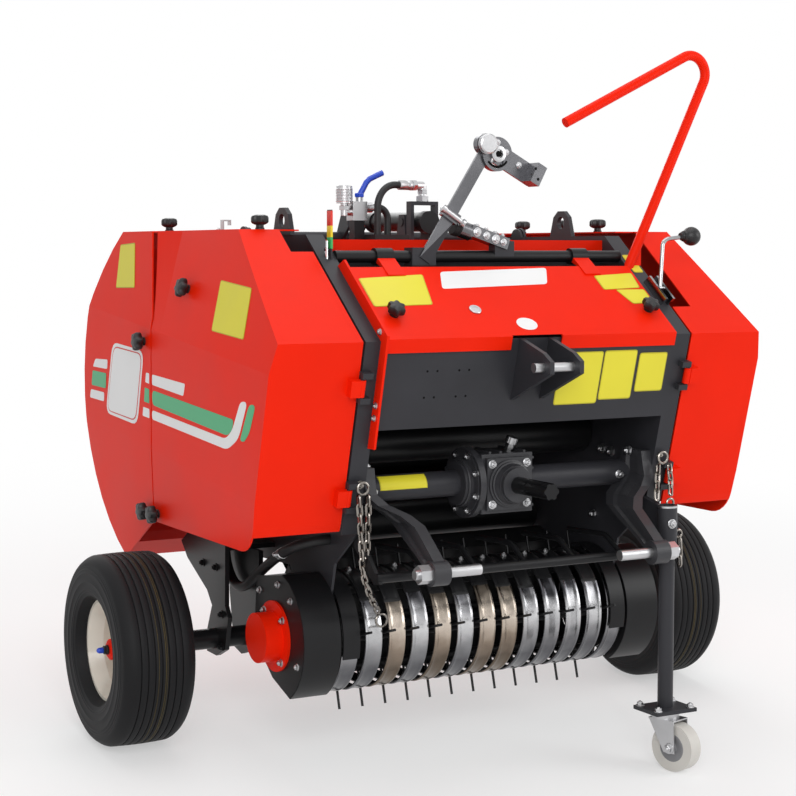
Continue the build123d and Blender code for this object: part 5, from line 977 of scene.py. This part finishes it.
set_down(draft, "frame_nuts", zinc)

# Hitch and chains. Cast arms carry zinc link pins. Short chains of bent wire links, dull from the weather,
# hang from rings on the frame: two on the left lead down to the pickup, three on the right hang about the
# stand.
LINK_LENGTH = 29
LINK_WIDTH = 15.5
LINK_WIRE = 2.6


def chain(draft, path):
    """Chain of oval wire links along a run of points, each link hooked in the last and turned a quarter."""
    points = [Vector(p) for p in path]
    reach = [0]
    for start, end in zip(points, points[1:]):
        reach.append(reach[-1] + (end - start).length)

    def spot(distance):
        """Point on the run at a distance from its start."""
        i = max(k for k in range(len(points) - 1) if reach[k] <= distance)
        return points[i].lerp(points[i + 1], (distance - reach[i]) / (reach[i + 1] - reach[i]))

    pitch = LINK_LENGTH - 4 * LINK_WIRE
    straight = (LINK_LENGTH - LINK_WIDTH) / 2
    bend = LINK_WIDTH / 2 - LINK_WIRE
    for link in range(int((reach[-1] - LINK_LENGTH) / pitch) + 1):
        start, end = spot(link * pitch), spot(link * pitch + LINK_LENGTH)
        middle, along = (start + end) / 2, (end - start).normalized()
        side = along.cross(Vector((0, 1, 0))).normalized()
        wide = side if link % 2 else along.cross(side)
        oval = []
        for k in range(14):
            a = math.tau * (k + 0.5) / 14
            shift = straight if math.cos(a) > 0 else -straight
            oval.append(middle + along * (shift + bend * math.cos(a)) + wide * bend * math.sin(a))
        tube(draft, oval, LINK_WIRE, 6, closed=True)


CHAIN_RUNS = (
    ((-375, -474, 566), (-368, -470, 490), (-354, -452, 400), (-319, -420, 344),
     (-272, -374, 296)),
    ((-354, -476, 566), (-351, -468, 488), (-344, -448, 410)),
    ((353, -474, 588), (344, -482, 541), (338, -488, 500)),
    ((378, -478, 586), (362, -506, 550), (346, -526, 518)),
    ((347, -558, 440), (347, -560, 372)),
)
draft = bmesh.new()
for run in CHAIN_RUNS:
    chain(draft, run)
chain_zinc = painted("chain_zinc", (0.30, 0.275, 0.25), 0.24, 0.0, 0.10, patch=0.3, metal=1.0)
set_down(draft, "pin_chains", chain_zinc)


def wire_ring(draft, middle, radius, wire):
    """Closed ring of wire that hangs across the machine."""
    turns = sweep(0, 360, 18)
    tube(draft, [middle + Vector((radius * math.cos(a), 0, radius * math.sin(a))) for a in turns], wire, 8,
         closed=True)


FRAME_RINGS = ((-364, -472, 576), (366, -472, 598))
END_RINGS = (((-266, -366, 286), 13), ((344, -528, 508), 9), ((345, -557, 446), 8))
draft = bmesh.new()
for middle in FRAME_RINGS:
    wire_ring(draft, Vector(middle), 12, 2.8)
    bolt(draft, Vector(middle) + Vector((0, 12.5, 6)), FRONT, across=11, head=6)
for middle, radius in END_RINGS:
    wire_ring(draft, Vector(middle), radius, 2.4)
set_down(draft, "chain_rings", chain_zinc)

# Stand. A charcoal sleeve and leg with a zinc set bolt and a zinc collar. Below it a plate is bolted to a
# zinc castor with a white nylon wheel on a grey hub.
nylon = painted("white_nylon", (0.62, 0.60, 0.56), 0.45, 0.0, 0.15, patch=0.06)
coat(nylon, "castor_wheel")
STAND = Vector((321, -549, 0))
SLEEVE_TOP = 502
draft = bmesh.new()
bolt(draft, STAND + Vector((-3, -20.6, 470)), (-0.15, -0.99, 0), across=13, head=7)
lathe(draft, [(0, 20.2), (0.5, 21.4), (4.5, 21.4), (5, 20.2)], stood(STAND + UP * SLEEVE_TOP, UP), 40,
      ring=True)
set_down(draft, "sleeve_bolt", zinc)
castor_low, castor_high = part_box("castor_wheel")
castor_mid = LEVEL @ ((castor_low + castor_high) / 2)
CASTOR_TURN = math.radians(17)
CASTOR_HALF = 16.9
FORK_HALF = 26.2
PLATE_THICK = 8.3
PLATE_BOLTS = ((-42, -32), (-42, 32), (42, -32), (42, 32))
castor_axle = Vector((math.cos(CASTOR_TURN), math.sin(CASTOR_TURN), 0))
hub_grey = painted("castor_hub_grey", (0.20, 0.20, 0.21), 0.4, 0.0, 0.2)
draft = bmesh.new()
for way in (-1, 1):
    place = stood(castor_mid + castor_axle * way * CASTOR_HALF, castor_axle * way)
    lathe(draft, [(0, 30), (1.2, 29), (1.6, 24), (0.6, 22), (0.6, 14), (3.6, 12), (3.8, 7)],
          place, 36)
set_down(draft, "castor_hub", hub_grey, "castor_wheel")
draft = bmesh.new()
for way in (-1, 1):
    bolt(draft, castor_mid + castor_axle * way * FORK_HALF, castor_axle * way, across=15, head=7)
set_down(draft, "castor_nuts", zinc, "castor_fork")
plate_high = max((LEVEL @ v.co).z for v in nodes["castor_fork"].data.vertices) + PLATE_THICK
draft = bmesh.new()
for x, y in PLATE_BOLTS:
    bolt(draft, (STAND.x + x, STAND.y + y, plate_high), UP, across=12, head=6)
set_down(draft, "castor_plate_bolts", zinc, "stand_leg")

# Lever. A bent bright rod in a forked foot on the right flange, with a black plastic ball screwed on its end.
# The ball has a stepped neck where the rod goes in.
BALL_RADIUS = 20.6
lever_steel = painted("lever_steel", (0.36, 0.36, 0.37), 0.16, 0.0, 0.04, patch=0.15, metal=1.0)
coat(lever_steel, "ball_lever")
lever_high = max((LEVEL @ v.co for v in nodes["ball_lever"].data.vertices), key=lambda p: p.x)
lever_ball = Vector((lever_high.x - 20, lever_high.y, lever_high.z))
draft = bmesh.new()
ball_profile = [(-30, 7.5), (-27, 8.2), (-26, 9.6), (-23, 9.6), (-22, 11.5)]
ball_profile += [(-BALL_RADIUS * math.cos(a), BALL_RADIUS * math.sin(a)) for a in sweep(38, 180, 12)]
lathe(draft, ball_profile, stood(lever_ball, (1, 0, 0)), 36)
set_down(draft, "lever_ball", knob_plastic, "chassis")
